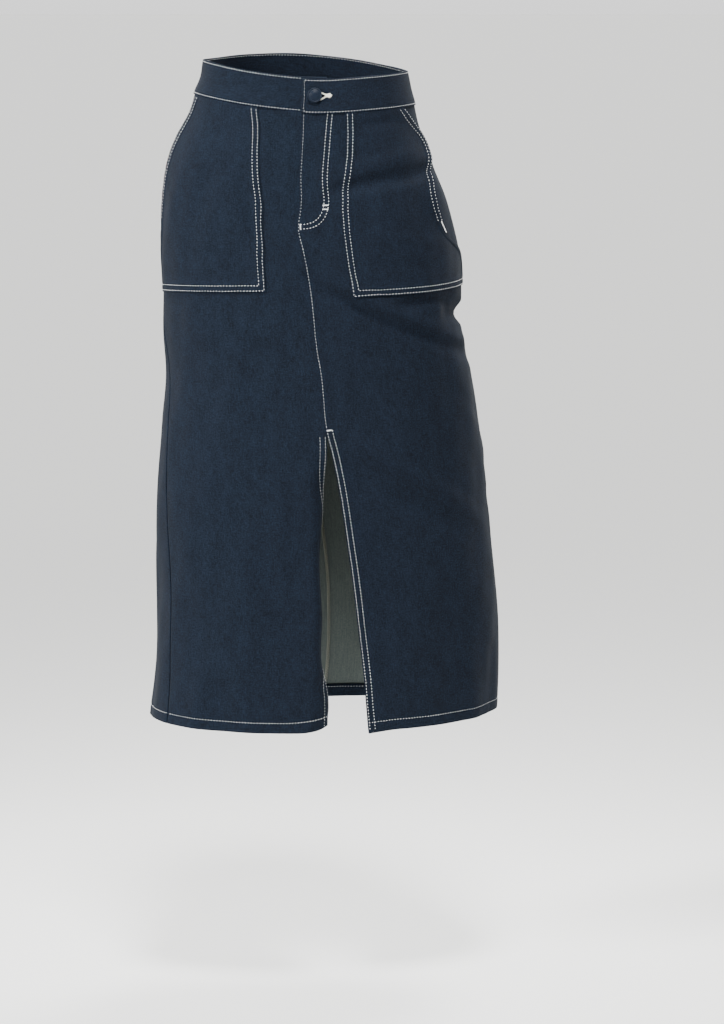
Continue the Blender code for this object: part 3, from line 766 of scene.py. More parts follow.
def finished(name, mesh, slot, *materials):
    """Turn a mesh into a piece of the skirt with these materials, shaded smooth and attached to
    its body. The slot is not used.
    """
    for finish in materials:
        mesh.materials.append(finish)
    mesh.shade_smooth()
    piece = bpy.data.objects.new(name, mesh)
    bpy.context.scene.collection.objects.link(piece)
    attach(piece, BODY)
    return piece


def path_lengths(points, axis):
    """Distances along a grid's lines, from the first point of each."""
    steps = np.linalg.norm(np.diff(points, axis=axis), axis=-1)
    start = np.zeros_like(np.take(steps, [0], axis=axis))
    return np.concatenate((start, np.cumsum(steps, axis=axis)), axis=axis)


def grid_mesh(name, points, wear_and_highlight, left_out=None, warp_across=False, grain=0):
    """A grid of cloth through rows of points, with a map of its threads in metres and, at each
    point, its wear and painted highlight: how much lighter it is painted, partly for abrasion and
    partly as highlight on folded edges. The warp runs along the grain column, or across the grid.
    The points that left_out marks are removed."""
    rows, columns = points.shape[:2]
    across = path_lengths(points, 1) * MM
    across = across - across[:, grain][:, None]
    along = path_lengths(points, 0) * MM
    if warp_across:
        across, along = along, across
    bm = bmesh.new()
    bmesh.ops.create_grid(bm, x_segments=columns - 1, y_segments=rows - 1, size=1.0)
    threads = bm.loops.layers.uv.new("threads")
    # The wear_and_highlight layer: lighter on folded edges and ripple tops, partly wear and
    # partly painted highlight
    worn = bm.verts.layers.float.new("wear_and_highlight")
    removed = []
    place = {}
    for vert in bm.verts:
        row = round((vert.co.y + 1) / 2 * (rows - 1))
        column = round((vert.co.x + 1) / 2 * (columns - 1))
        place[vert.index] = (row, column)
        vert.co = Vector(points[row, column]) * MM
        vert[worn] = wear_and_highlight[row, column]
        if left_out is not None and left_out[row, column]:
            removed.append(vert)
    for face in bm.faces:
        for loop in face.loops:
            spot = place[loop.vert.index]
            loop[threads].uv = (across[spot], along[spot])
    bmesh.ops.delete(bm, geom=removed, context="VERTS")
    return mesh_from(bm, name)


def add_wall(piece, rim=1):
    """Give an open sheet the thickness of its cloth, inwards, with the reverse inside. The
    rim's material is 1, the reverse, where the undyed ends of the yarns show."""
    shell = piece.modifiers.new("cloth", "SOLIDIFY")
    shell.thickness = sizes().wall
    shell.offset = -1
    shell.material_offset = 1
    shell.material_offset_rim = rim


def passed_share(from_edge):
    """How far an edge that runs on inside its neighbour has dipped inwards, as a share."""
    low, high = PASSED_DIP
    return smooth((low - (from_edge - SEAM_ALLOWANCE)) / (low - high))


def lapped(lift, kinds, level, from_low, from_high, on_face):
    """A panel's lift with what its slit's edge adds: the step where the left front laps over
    the right one, the grooves of the stitches and the ripples beside them."""
    joined = joined_share(level)
    slit = smooth((SLIT_TOP - SLIT_ROW_START - level) / SLIT_ROW_FADE)
    if kinds[0] == "slit":
        lift = lift + LAP_LIFT * joined * smooth(1 - from_low / LAP_FADE)
        lift = lift + groove(from_low, (EDGE_ROW,)) * on_face
        lift = lift + groove(from_low, (SLIT_SECOND_ROW,)) * on_face * slit
        lift = lift + pucker(level, from_low, *EDGE_PUCKER)
    if kinds[1] == "slit":
        lift = lift + LAP_SINK * joined * smooth(1 - from_high / LAP_FADE)
        lift = lift + groove(from_high, (EDGE_ROW, SLIT_SECOND_ROW)) * on_face * slit
        lift = lift + pucker(level, from_high, *EDGE_PUCKER)
    return lift


def panel_wear_and_highlight(kinds, rows, columns, ripple):
    """How much a panel is painted lighter, for wear and as painted highlight: on its folds, most
    of all at the slit, and on its hem's ripples.
    """
    edge_fold = np.sin(np.maximum(columns["low_angle"], columns["high_angle"]))[None, :]
    hem_fold = np.sin(rows["low_angle"])[:, None]
    edge_wear_and_highlight = 1.0 if "slit" in kinds else SEAM_WEAR_AND_HIGHLIGHT
    return np.clip(
        edge_wear_and_highlight * edge_fold + hem_fold + RIPPLE_WEAR_AND_HIGHLIGHT * np.clip(ripple, 0, 1), 0, 1)


def panel_points(name):
    """Points of a panel's outer face, and how much wear and painted highlight it takes at each.
    """
    panel = PANELS[name]
    kinds = panel["low_edge"], panel["high_edge"]
    radius = sizes().fold_radius / MM
    rows = grid_lines(turned_edge(HEM_TURN_UP, (HEM_ROW,), HEM_REACH), plain_edge(TOP_MARKS),
                      PANEL_TOP - HEM_LEVEL, PANEL_ROW)
    columns = grid_lines(panel_edge(kinds[0]), panel_edge(kinds[1]), panel["width"],
                         PANEL_COLUMN)
    level, depth = laid(rows, HEM_LEVEL, PANEL_TOP, 1.0, 1.0, 0.0, radius, 0.0)
    level = level[:, None]
    above_hem = level - HEM_LEVEL
    in_hem = smooth((HEM_TURN_UP + HEM_FOLD_END - above_hem) / HEM_FOLD_FADE)
    edge_radius = radius * (1 + HEM_FOLD * in_hem)
    low = read(SEAMS, panel["low"], level)
    high = read(SEAMS, panel["high"], level)
    high = np.where(high < low, high + 360, high)
    low_per_mm = turn_per_mm(low, level)
    high_per_mm = turn_per_mm(high, level)
    out = {"turned": SEAM_PRESS + HEM_PRESS * in_hem, "passed": SEAM_ALLOWANCE}
    low = low - out.get(kinds[0], left_edge_shift(level)) * low_per_mm
    high = high + out.get(kinds[1], right_edge_shift(level)) * high_per_mm
    roll = curl_angle(level) if name == "front_right" else np.zeros_like(level)
    flat_low = low - (CURL_WIDTH - curled(CURL_WIDTH, 0.0, roll)[0]) * high_per_mm
    turn, lift = laid(columns, flat_low, high, low_per_mm, high_per_mm, depth[:, None],
                      edge_radius, edge_radius)
    from_low = (turn - flat_low) / low_per_mm
    from_high = (high - turn) / high_per_mm
    face_row = (rows["low_angle"] < FACE_ANGLE)[:, None]
    on_face = face_row & (columns["low_angle"] + columns["high_angle"] < FACE_ANGLE)
    for kind, from_edge in zip(kinds, (from_low, from_high)):
        if kind == "passed":
            lift = lift - (2 * edge_radius + PASSED_GAP) * passed_share(from_edge)
    lift = lapped(lift, kinds, level, from_low, from_high, on_face)
    lift = lift + groove(above_hem, (HEM_ROW,)) * on_face
    along_hem = turn / turn_per_mm(0.0, HEM_LEVEL) - HEM_LEAN * above_hem
    lift = lift + pucker(along_hem, above_hem, *HEM_PUCKER)
    rise = corner_rise(name, from_high if name == "front_right" else from_low, above_hem)
    if name == "front_right":
        inward, lift = curled(from_high, lift, roll)
        turn = high - inward * high_per_mm
    ripple = pucker(along_hem, above_hem, *HEM_PUCKER[:2], 1.0) * face_row
    return cloth(turn, level + rise, lift), panel_wear_and_highlight(kinds, rows, columns, ripple)


def make_panel(name, materials):
    """One panel with its seam allowances and hem turned under."""
    points, wear_and_highlight = panel_points(name)
    grain = 0 if PANELS[name]["low"] in ("left_slit", "back") else -1
    mesh = grid_mesh(name + "_denim", points, wear_and_highlight, grain=grain)
    piece = finished(name + "_denim", mesh, "denim", *materials)
    add_wall(piece)
    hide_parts(name)


def pocket_points(pocket):
    """Points of a patch pocket's outer face, how much wear and painted highlight it takes on its
    folded edges, and the cloth cut away at its corners, where two edges would be turned under on
    top of each other."""
    radius = sizes().fold_radius / MM
    wall = sizes().wall / MM
    edge = turned_edge(POCKET_TURN_UNDER, (EDGE_ROW, SECOND_ROW))
    rows = grid_lines(edge, plain_edge(TOP_MARKS), PANEL_TOP - pocket["foot"][0], POCKET_CELL)
    columns = grid_lines(edge, edge, pocket["width"], POCKET_CELL)
    share = columns["share"][None, :]
    if pocket["way"] < 0:
        share = 1 - share
    foot = pocket["foot"][0] + (pocket["foot"][1] - pocket["foot"][0]) * share
    level, row_depth = laid(
        {name: values[:, None] for name, values in rows.items()},
        foot, PANEL_TOP - POCKET_TOP_DROP, 1.0, 1.0, 0.0, radius, 0.0)
    inner = read(pocket["rows"], "inner", level)
    mouth, below_mouth = pocket_mouth(pocket, level)
    low, high = (inner, mouth) if pocket["way"] > 0 else (mouth, inner)
    low_per_mm = turn_per_mm(low, level)
    high_per_mm = turn_per_mm(high, level)
    turn, column_depth = laid(columns, low, high, low_per_mm, high_per_mm, 0.0, radius, radius)
    from_inner, from_mouth = (turn - low) / low_per_mm, (high - turn) / high_per_mm
    if pocket["way"] < 0:
        from_inner, from_mouth = from_mouth, from_inner
    from_foot = level - foot
    doubled = smooth((PANEL_TOP - level) / POCKET_TOP_FADE) * np.maximum(*(
        smooth((POCKET_TURN_UNDER + POCKET_EDGE_FADE - from_edge) / POCKET_EDGE_FADE)
        for from_edge in (np.minimum(from_inner, from_mouth), from_foot)
    ))
    near_mouth = np.clip(1 - from_mouth / GAPE_WIDTH, 0, 1) ** GAPE_CURVE
    lift = wall + POCKET_GAP + doubled * (2 * radius - wall)
    lift = lift + read(pocket["rows"], "gape", level) * near_mouth + row_depth + column_depth
    column_angle = (columns["low_angle"] + columns["high_angle"])[None, :]
    row_angle = rows["low_angle"][:, None]
    edges = (
        (level, from_inner, 1.0), (level + MOUTH_RIPPLE_START, from_mouth, 1 - below_mouth),
        (turn / low_per_mm, from_foot, 1.0),
    )
    pull = sum(groove(from_edge, (EDGE_ROW, SECOND_ROW)) * share for _, from_edge, share in edges)
    lift = lift + (column_angle < FACE_ANGLE) * (row_angle < FACE_ANGLE) * pull
    for along, from_edge, share in edges:
        lift = lift + pucker(along, from_edge, *POCKET_PUCKER) * share
    fold = np.maximum(columns["low_angle"], columns["high_angle"])[None, :]
    # Folded edges painted lighter: partly wear, partly painted highlight
    wear_and_highlight = np.clip(np.sin(fold) + np.sin(row_angle), 0, 1) + np.zeros_like(turn)
    corner = np.maximum(column_angle, row_angle) > BACK_ANGLE
    corner = corner & (np.minimum(column_angle, row_angle) > FACE_ANGLE)
    return cloth(turn, level, lift), wear_and_highlight, corner


def make_pocket(name, materials):
    """One patch pocket with its edges turned under."""
    points, wear_and_highlight, corner = pocket_points(POCKETS[name])
    grain = 0 if POCKETS[name]["way"] > 0 else -1
    mesh = grid_mesh(name + "_denim", points, wear_and_highlight, corner, grain=grain)
    piece = finished(name + "_denim", mesh, "denim", *materials)
    add_wall(piece, rim=0)
    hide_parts(name)


def band_profile():
    """The waistband's cross-section: heights and lifts, up its face and down its reverse."""
    straight = BAND_TOP - BAND_EDGE_ROUND
    marks = sorted({-straight, straight, *(
        row + step for row in (BAND_FOOT_ROW, BAND_TOP_ROW)
        for step in (-GROOVE_WIDTH, 0.0, GROOVE_WIDTH)
    )})
    face = np.array(filled(marks, BAND_ROW))
    angle = np.linspace(0, math.pi, FOLD_STEPS + 1)[1:-1]
    half = BAND_WALL / 2
    height = np.concatenate((
        face, straight + BAND_EDGE_ROUND * np.sin(angle),
        face[::-1], -straight - BAND_EDGE_ROUND * np.sin(angle), face[:1],
    ))
    lift = np.concatenate((
        np.full(len(face), half), half * np.cos(angle),
        np.full(len(face), -half), -half * np.cos(angle), np.full(1, half),
    ))
    return height, lift


def band_turns(per_mm):
    """The turns of the waistband's columns, closest at its two ends."""
    start = BAND_OUTER_END_TURN
    end = 360 + BAND_INNER_END_TURN
    near_end = np.array(BAND_END_COLUMNS) * per_mm
    middle = np.linspace(start + BAND_END_REACH * per_mm, end - BAND_END_REACH * per_mm,
                         round((end - start) / BAND_TURN_STEP))
    return np.concatenate((start + near_end, middle, end - near_end[::-1]))


def band_shift(turn):
    """How far the waistband lies inside its own line: its inner end passes behind the outer."""
    low, high = BAND_STEP_TURNS
    return -BAND_STEP * smooth((turn - low) / (high - low))


def band_sag(turn):
    """How much lower the waistband's outer end hangs than the end behind it."""
    low, high = BAND_SAG_TURNS
    return BAND_SAG * smooth((high - turn) / (high - low))


def band_points():
    """Points of the waistband's closed section, one column after another, and its wear and
    painted highlight, which paint it lighter towards its rounded edges and ends.
    """
    height, section = (values[:, None] for values in band_profile())
    per_mm = float(turn_per_mm(0.0, 0.0))
    turn = band_turns(per_mm)
    arc = turn / per_mm
    from_end = np.minimum(turn - turn[0], turn[-1] - turn) / per_mm
    thickness = np.sqrt(1 - (1 - np.clip(from_end / BAND_EDGE_ROUND, 0, 1)) ** 2)
    round_off = BAND_CORNER_ROUND - np.clip(from_end, 0, BAND_CORNER_ROUND)
    corner = BAND_CORNER_ROUND - np.sqrt(BAND_CORNER_ROUND ** 2 - round_off ** 2)
    outer = section > 0
    puff = BAND_PUFF * (1 - (height / BAND_TOP) ** 2) * outer
    ripple = sum(pucker(arc + start, height, centre, BAND_PUCKER_WIDTH, rise)
                 for start, centre, rise in BAND_PUCKERS)
    lift = section * thickness + (puff + ripple * outer) * thickness
    lift = lift + groove(height, (BAND_TOP_ROW, BAND_FOOT_ROW)) * outer * thickness
    lift = lift + BAND_LIFT + BAND_FOOT_LIFT * smooth(-height / BAND_TOP) + band_shift(turn)
    waver = sum(rise * np.sin(arc / length + start) for rise, length, start in BAND_WAVERS)
    level = height * ((BAND_TOP - corner) / BAND_TOP)
    level = level + waver * np.sign(height) * (np.abs(height) > BAND_WAVER_START)
    turns, levels = np.broadcast_arrays(turn[None, :], level + band_sag(turn))
    points = body(turns, levels) + lift[..., None] * face_normal(body, turns, levels)
    from_edge = np.minimum(BAND_TOP - np.abs(height), from_end)
    # Lighter within a rounded edge's width of the edges and ends: partly wear, partly painted
    # highlight
    return points, np.clip(1 - from_edge / BAND_EDGE_ROUND, 0, 1)


def make_band(materials):
    """The waistband: one doubled strip wound once round the waist."""
    points, wear_and_highlight = band_points()
    mesh = grid_mesh("waistband_denim", points, wear_and_highlight, warp_across=True)
    bm = bmesh.new()
    bm.from_mesh(mesh)
    bmesh.ops.remove_doubles(bm, verts=bm.verts, dist=WELD_DISTANCE)
    bmesh.ops.recalc_face_normals(bm, faces=bm.faces)
    bm.to_mesh(mesh)
    bm.free()
    piece = finished("waistband_denim", mesh, "denim", materials[0])
    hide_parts("waistband")


# Materials ------------------------------------------------------------------------------


def add(tree, kind, links=(), **settings):
    """Add a node with its settings, and its inputs as values or links from other nodes."""
    node = tree.nodes.new(kind)
    for name, value in settings.items():
        setattr(node, name, value)
    for socket, value in dict(links).items():
        if isinstance(value, bpy.types.NodeSocket):
            tree.links.new(value, node.inputs[socket])
        else:
            node.inputs[socket].default_value = value
    return node


def new_material(name, roughness, **sockets):
    """A material with its shader's constants set, and its node tree."""
    material = bpy.data.materials.new(name)
    material.use_nodes = True
    shader = material.node_tree.nodes["Principled BSDF"]
    shader.inputs["Roughness"].default_value = roughness
    for socket, value in sockets.items():
        shader.inputs[socket.replace("_", " ")].default_value = value
    return material, material.node_tree


def rgba(colour, tone=1.0):
    """A colour with full cover, made lighter or darker by a tone."""
    return (*(tone * part for part in colour), 1.0)


# A wave texture of this scale repeats once in each unit
WAVE_UNIT = 2 * math.pi / 20


def wave_scale(period):
    """A wave texture's scale for bands that repeat every so many millimetres."""
    return WAVE_UNIT / (period * MM)


def yarn_noise(tree, threads, across, along, detail, roughness):
    """Unevenness with features so many millimetres across and along the warp."""
    # A noise texture's features are about two of its units wide
    space = add(tree, "ShaderNodeMapping", {
        "Vector": threads, "Scale": (2 / (across * MM), 2 / (along * MM), 1.0)})
    return add(tree, "ShaderNodeTexNoise", {
        "Vector": space.outputs["Vector"], "Scale": 1.0, "Detail": detail,
        "Roughness": roughness}).outputs["Fac"]


# Denim's uneven parts: their size across and along the warp in millimetres, their detail and
# its roughness. They are coarser than real yarns, so that they show from a metre away.
YARNS = {
    "yarn": (3.0, 16.0, 3.0, 0.65), "pick": (14.0, 2.6, 3.0, 0.65),
    "slub": (3.6, 60.0, 3.0, 0.55), "speck": (3.4, 3.8, 3.0, 0.7),
    "cloud": (30.0, 60.0, 4.0, 0.65),
}
# Real twill lines are 0.7 mm apart. A little coarser, they still show from a metre away.
TWILL_PITCH = 0.9
TWILL_LEAN = -27.0
# Sums over a pattern. Each part is spread from its own range, the first two numbers, over
# another, the last two, and the parts are added together.
FACE_PALE = (
    ("twill", 0.1, 0.9, 0.0, 0.12), ("yarn", 0.3, 0.7, -0.16, 0.3),
    ("pick", 0.3, 0.7, -0.14, 0.28), ("slub", 0.36, 0.7, 0.0, 0.14),
    ("speck", 0.42, 0.76, 0.0, 0.85), ("cloud", 0.3, 0.7, -0.12, 0.12),
    # Folded edges and ripple tops painted lighter, partly for wear and partly as painted
    # highlight
    ("wear_and_highlight", 0.0, 1.0, 0.0, 0.1),
)
FACE_RELIEF = (
    ("twill", 0.0, 1.0, 0.0, 1.0), ("yarn", 0.3, 0.7, 0.0, 0.9), ("slub", 0.3, 0.7, 0.0, 0.7),
)
REVERSE_FLECKS = (
    ("twill", 0.2, 0.9, 0.0, 0.2), ("yarn", 0.32, 0.7, 0.0, 0.16),
    ("slub", 0.3, 0.7, -0.05, 0.12), ("speck", 0.38, 0.74, 0.0, 0.34),
)
# Painted shade: how far a thread is darkened in stripes along its plies
PLY_PAINTED_SHADE = (("plies", 0.0, 1.0, 0.0, 0.25),)
# Painted highlight: how far the enamel's raised peel spots are lightened
PEEL_PAINTED_HIGHLIGHT = (("peel", 0.35, 0.7, 0.0, 1.0),)
TARNISH = (("tarnish", 0.4, 0.7, 0.0, 1.0),)
# Sewing thread: how many turns of its plies each stitch shows, and how they lean
PLY_TURNS = 5
PLY_LEAN = 35.0
TAPE_RIB = 0.9


def denim_threads(tree):
    """The parts of denim's pattern: its twill lines, yarns, longer slubs, specks of weft and wide
    clouds of uneven dye, and its wear and painted highlight on folded edges and ripple tops."""
    threads = add(tree, "ShaderNodeUVMap", uv_map="threads").outputs["UV"]
    leaning = add(tree, "ShaderNodeMapping", {
        "Vector": threads, "Rotation": (0.0, 0.0, math.radians(TWILL_LEAN))})
    pattern = {name: yarn_noise(tree, threads, *yarn) for name, yarn in YARNS.items()}
    pattern["twill"] = add(tree, "ShaderNodeTexWave", {
        "Vector": leaning.outputs["Vector"], "Scale": wave_scale(TWILL_PITCH),
        "Distortion": 1.4, "Detail": 2.0, "Detail Scale": 1.8, "Detail Roughness": 0.6,
    }).outputs["Fac"]
    # Lighter on folded edges and ripple tops: partly wear, partly painted highlight
    pattern["wear_and_highlight"] = add(tree, "ShaderNodeAttribute", attribute_name="wear_and_highlight").outputs["Fac"]
    return pattern


def pattern_sum(tree, pattern, shares):
    """Parts of a pattern, spread over their shares and added together."""
    total = 0.0
    for name, low, high, to_low, to_high in shares:
        part = add(tree, "ShaderNodeMapRange", {
            "Value": pattern[name], "From Min": low, "From Max": high, "To Min": to_low,
            "To Max": to_high}).outputs["Result"]
        total = add(tree, "ShaderNodeMath", {0: total, 1: part}, operation="ADD").outputs[0]
    return total


def finish_surface(tree, share, first, second, relief=None, strength=0.0, depth=0.0):
    """Colour a material from a first colour to a second by a share, and raise its surface by
    a relief this many millimetres deep."""
    shader = tree.nodes["Principled BSDF"]
    face = add(tree, "ShaderNodeMixRGB", {"Fac": share, "Color1": first, "Color2": second},
               use_clamp=True)
    tree.links.new(face.outputs["Color"], shader.inputs["Base Color"])
    if relief is not None:
        bump = add(tree, "ShaderNodeBump", {
            "Height": relief, "Strength": strength, "Distance": depth * MM})
        tree.links.new(bump.outputs["Normal"], shader.inputs["Normal"])


def denim_face():
    """Rope-dyed cotton twill, face side: dark warp floats on a diagonal with flecks of pale
    weft between them, uneven yarns, a dry matt surface and a faint fuzz at grazing angles."""
    material, tree = new_material(
        "rope_dyed_indigo_twill", 0.9, Sheen_Weight=0.015, Sheen_Roughness=0.5,
        Specular_IOR_Level=0.08)
    pattern = denim_threads(tree)
    # The pale share includes painted highlight on folded edges, along with real wear
    pale = pattern_sum(tree, pattern, FACE_PALE)
    relief = pattern_sum(tree, pattern, FACE_RELIEF)
    finish_surface(tree, pale, rgba(colours().indigo), rgba(colours().weft), relief, 0.35, 0.12)
    return material


def denim_reverse():
    """The same cloth's reverse: pale weft with the indigo warp only in short flecks."""
    material, tree = new_material(
        "weft_faced_denim_reverse", 0.9, Sheen_Weight=0.1, Specular_IOR_Level=0.2)
    pattern = denim_threads(tree)
    share = pattern_sum(tree, pattern, REVERSE_FLECKS)
    finish_surface(tree, share, rgba(colours().reverse), rgba(colours().weft),
                   pattern["twill"], 0.3, 0.1)
    return material


def thread_material(name, colour):
    """Core-spun polyester sewing thread, with its plies twisted round it, painted darker in
    stripes along the twist as painted shade of the plies' relief, and a soft lustre.
    """
    material, tree = new_material(name, 0.5, Sheen_Weight=0.2)
    along = add(tree, "ShaderNodeUVMap", uv_map="thread").outputs["UV"]
    leaning = add(tree, "ShaderNodeMapping", {
        "Vector": along, "Rotation": (0.0, 0.0, math.radians(PLY_LEAN))}).outputs["Vector"]
    # Each stitch is one unit long on its own map
    plies = add(tree, "ShaderNodeTexWave", {
        "Vector": leaning, "Scale": PLY_TURNS * WAVE_UNIT}).outputs["Fac"]
    # Stripes along the plies darkened towards 0.7 of the thread's colour: painted shade
    painted_shade = pattern_sum(tree, {"plies": plies}, PLY_PAINTED_SHADE)
    finish_surface(tree, painted_shade, rgba(colour), rgba(colour, 0.7), plies, 0.4, 0.08)
    return material


def object_noise(tree, size, detail):
    """Unevenness through a piece, with features about twice this many millimetres wide."""
    place = add(tree, "ShaderNodeTexCoord").outputs["Object"]
    return add(tree, "ShaderNodeTexNoise", {
        "Vector": place, "Scale": 1 / (size * MM), "Detail": detail}).outputs["Fac"]


def enamel_material():
    """Navy enamel on the button's cap: a satin coat with a fine orange-peel surface, whose raised
    spots are painted up to 1.6 times lighter as painted highlight.
    """
    material, tree = new_material("navy_enamelled_cap", 0.4, Specular_IOR_Level=0.12)
    peel = object_noise(tree, 0.9, 2.0)
    pale = pattern_sum(tree, {"peel": peel}, PEEL_PAINTED_HIGHLIGHT)
    colour = colours().button
    # Lighter where the peel is raised, up to 1.6 times: painted highlight
    finish_surface(tree, pale, rgba(colour), rgba(colour, 1.6), peel, 0.3, 0.1)
    return material


def tape_material():
    """Ribbed polyester zip tape, navy, with a dull sheen, and its ribs shown only by painted
    shade: stripes darkened to 0.6 of its colour between them.
    """
    material, tree = new_material("woven_zip_tape", 0.7, Sheen_Weight=0.2)
    threads = add(tree, "ShaderNodeUVMap", uv_map="threads").outputs["UV"]
    rib = add(tree, "ShaderNodeTexWave", {"Vector": threads, "Scale": wave_scale(TAPE_RIB)})
    colour = colours().tape
    # The ribs have no relief: their stripes of painted shade darken the tape towards 0.6
    finish_surface(tree, rib.outputs["Fac"], rgba(colour), rgba(colour, 0.6))
    return material


def brass_material():
    """Antique brass: warm metal, slightly tarnished in patches."""
    material, tree = new_material("antique_brass", 0.35, Metallic=1.0)
    tarnish = object_noise(tree, 3.0, 3.0)
    dark = pattern_sum(tree, {"tarnish": tarnish}, TARNISH)
    finish_surface(tree, dark, rgba(colours().brass), rgba(colours().brass, 0.5))
    return material


def painted_shade_material():
    """A dark sheet of painted shade, laid just over the buttonhole's opening where its cut edges
    would lie deep in shadow: the indigo darkened to 0.12 of itself."""
    # Indigo darkened to 0.12: painted shade
    return new_material("painted_shade_buttonhole_gap", 0.95, Specular_IOR_Level=0.0,
                        Base_Color=rgba(colours().indigo, 0.12))[0]


# Sewing ---------------------------------------------------------------------------------

# How far from the skirt's own surface a finished surface is looked for, both ways
SEARCH_REACH = 14.0
# A stitch's form: the power that shapes its length, where 1 gives an ellipsoid and less a
# fuller one, and how far its ends dip, where its height is 1
STITCH_POWER = 0.85
STITCH_DIP = 0.35
# How far a stitch is raised and how high it is, where its width is 1: along a row and across
ROW_STITCH = (0.22, 0.85)
ACROSS_STITCH = (0.4, 1.3)
# No stitch is made between holes that are nearer than this many gaps or further apart than
# this many pitches
NEAREST_HOLES = 1.5
FURTHEST_HOLES = 2.2
# The distances at which lines are worked out along seams and pockets, and how many places
# there are along the waistband, the hem and a pocket's foot
SEAM_SPACING = 4.0
POCKET_SPACING = 3.0
BAND_PLACES = 320
HEM_PLACES = 120
FOOT_PLACES = 60
# The waistband and hem are sewn with slightly shorter stitches. The waistband's rows end at
# this turn, beside its outer end, and the hem's this far from each seam.
BAND_PITCH = 3.6
BAND_ROWS_END_TURN = 358.4
HEM_ROW_INSET = 0.8
# The centre front seam's thread sinks into the cloth, and the thread inside is finer
SUNK_THREAD = 0.47
FINE_THREAD = 0.29
BOBBIN_THREAD = 0.5
# The slit's rows start this far above the hem. They end this far below the slit's top, on the
# left front and on the right one.
SLIT_ROWS_FOOT = 1.5
LEFT_ROWS_TOP = 1.0
RIGHT_ROWS_TOP = 8.0
# The levels up to which the centre front seam's row and the pockets' rows run, and how far
# short of the side seam the rows along a pocket's foot stop
FRONT_ROW_TOP = -24.0
POCKET_ROWS_TOP = -22.5
FOOT_ROW_END = 1.0
# The fly's curve of stitches, on the left front, as turns and levels
FLY_OUTER = (
    (14.9, -22.5), (13.5, -50.0), (12.1, -78.0), (10.8, -108.0), (9.5, -139.0), (7.6, -151.0),
    (4.4, -160.0), (1.2, -163.6), (-2.4, -164.6),
)
FLY_ROW_GAP = 5.6
# Bar tacks: two across the fly's rows, as levels, then one at the slit's top and one at the
# fly's foot, each with its place, its direction in degrees and its length
TACK_PITCH = 0.55
TACK_THREAD = 0.6
TACK_WIDTH = 1.5
FLY_TACKS = (-134.5, -139.5)
FLY_TACK_REACH = 0.6
SLIT_TACK = ((1.1, SLIT_TOP - 2.5), 8.0, 4.6)
FLY_FOOT_TACK = ((-1.9, -161.8), 90.0, 6.4)
# A tack at the foot of a pocket's mouth: its length, how far it is from the edge and its width
MOUTH_TACK = 14.0
MOUTH_TACK_INSET = 3.2
MOUTH_TACK_WIDTH = 1.9
# Overlocking: from loop to loop, how far it starts from the seam, how wide it is, how far it
# stops short of the seam's ends, and its loops' and needle thread's depth and width
OVERLOCK_PITCH = 3.2
OVERLOCK_INSET = 7.4
OVERLOCK_WIDTH = 3.9
OVERLOCK_END = 3.0
OVERLOCK_LOOP = (0.25, 0.6)
OVERLOCK_NEEDLE = (0.3, 0.55)


def curve_through(places, spacing=1.0):
    """A smooth line of turns and levels through a few places on the skirt."""
    places = np.array(places, float)
    knots = path_lengths(body(places[:, 0], places[:, 1]), 0)
    t = np.linspace(0, knots[-1], max(4, round(knots[-1] / spacing)))
    rows = {"level": knots, "turn": places[:, 0], "height": places[:, 1]}
    return np.stack((read(rows, "turn", t), read(rows, "height", t)), axis=1)


def offset_line(line, distance):
    """A line moved sideways on the skirt, to the left as seen along it."""
    turn, level = line[:, 0], line[:, 1]
    per_mm = turn_per_mm(turn, level)
    round_way = np.gradient(turn) / per_mm
    up_way = np.gradient(level)
    length = np.hypot(round_way, up_way)
    return np.stack((turn - distance * up_way / length * per_mm,
                     level + distance * round_way / length), axis=1)


def surface_tree(name):
    """A piece's finished surface, to lay thread on."""
    depsgraph = bpy.context.evaluated_depsgraph_get()
    mesh = bpy.data.objects[name].evaluated_get(depsgraph).to_mesh()
    corners = [vert.co.copy() for vert in mesh.vertices]
    return BVHTree.FromPolygons(corners, [list(face.vertices) for face in mesh.polygons])


def on_surface(tree, turn, level, inside=False, band=False):
    """Where lines through places on the skirt meet a finished surface, and its normals."""
    face = body if band else folded
    points = face(turn, level)
    normals = face_normal(face, turn, level)
    way = -1 if inside else 1
    found = []
    for point, normal in zip(points, normals):
        direction = Vector(normal) * way
        hit, hit_normal, _, _ = tree.ray_cast(
            Vector(point) * MM + direction * SEARCH_REACH * MM, -direction,
            2 * SEARCH_REACH * MM)
        if hit is None:
            continue
        if hit_normal.dot(direction) < 0:
            hit_normal = -hit_normal
        found.append((hit, hit_normal))
    return found


def even_places(line, pitch):
    """Places along a line of turns and levels, a stitch apart."""
    lengths = path_lengths(cloth(line[:, 0], line[:, 1]), 0)
    count = max(1, round(lengths[-1] / pitch))
    marks = np.linspace(0, lengths[-1], count + 1)
    return np.interp(marks, lengths, line[:, 0]), np.interp(marks, lengths, line[:, 1])


def stitch_form(sides, rings):
    """One stitch: a thread that comes up out of the cloth, lies on it and goes down again."""
    bm = bmesh.new()
    bmesh.ops.create_uvsphere(bm, u_segments=sides, v_segments=rings, radius=0.5,
                              matrix=Matrix.Rotation(math.radians(90), 4, "Y"))
    verts = np.array([vert.co for vert in bm.verts])
    faces = [[vert.index for vert in face.verts] for face in bm.faces]
    bm.free()
    verts[:, 0] = np.sign(verts[:, 0]) * 0.5 * np.abs(2 * verts[:, 0]) ** STITCH_POWER
    verts[:, 2] -= STITCH_DIP * (2 * verts[:, 0]) ** 4
    return verts, faces


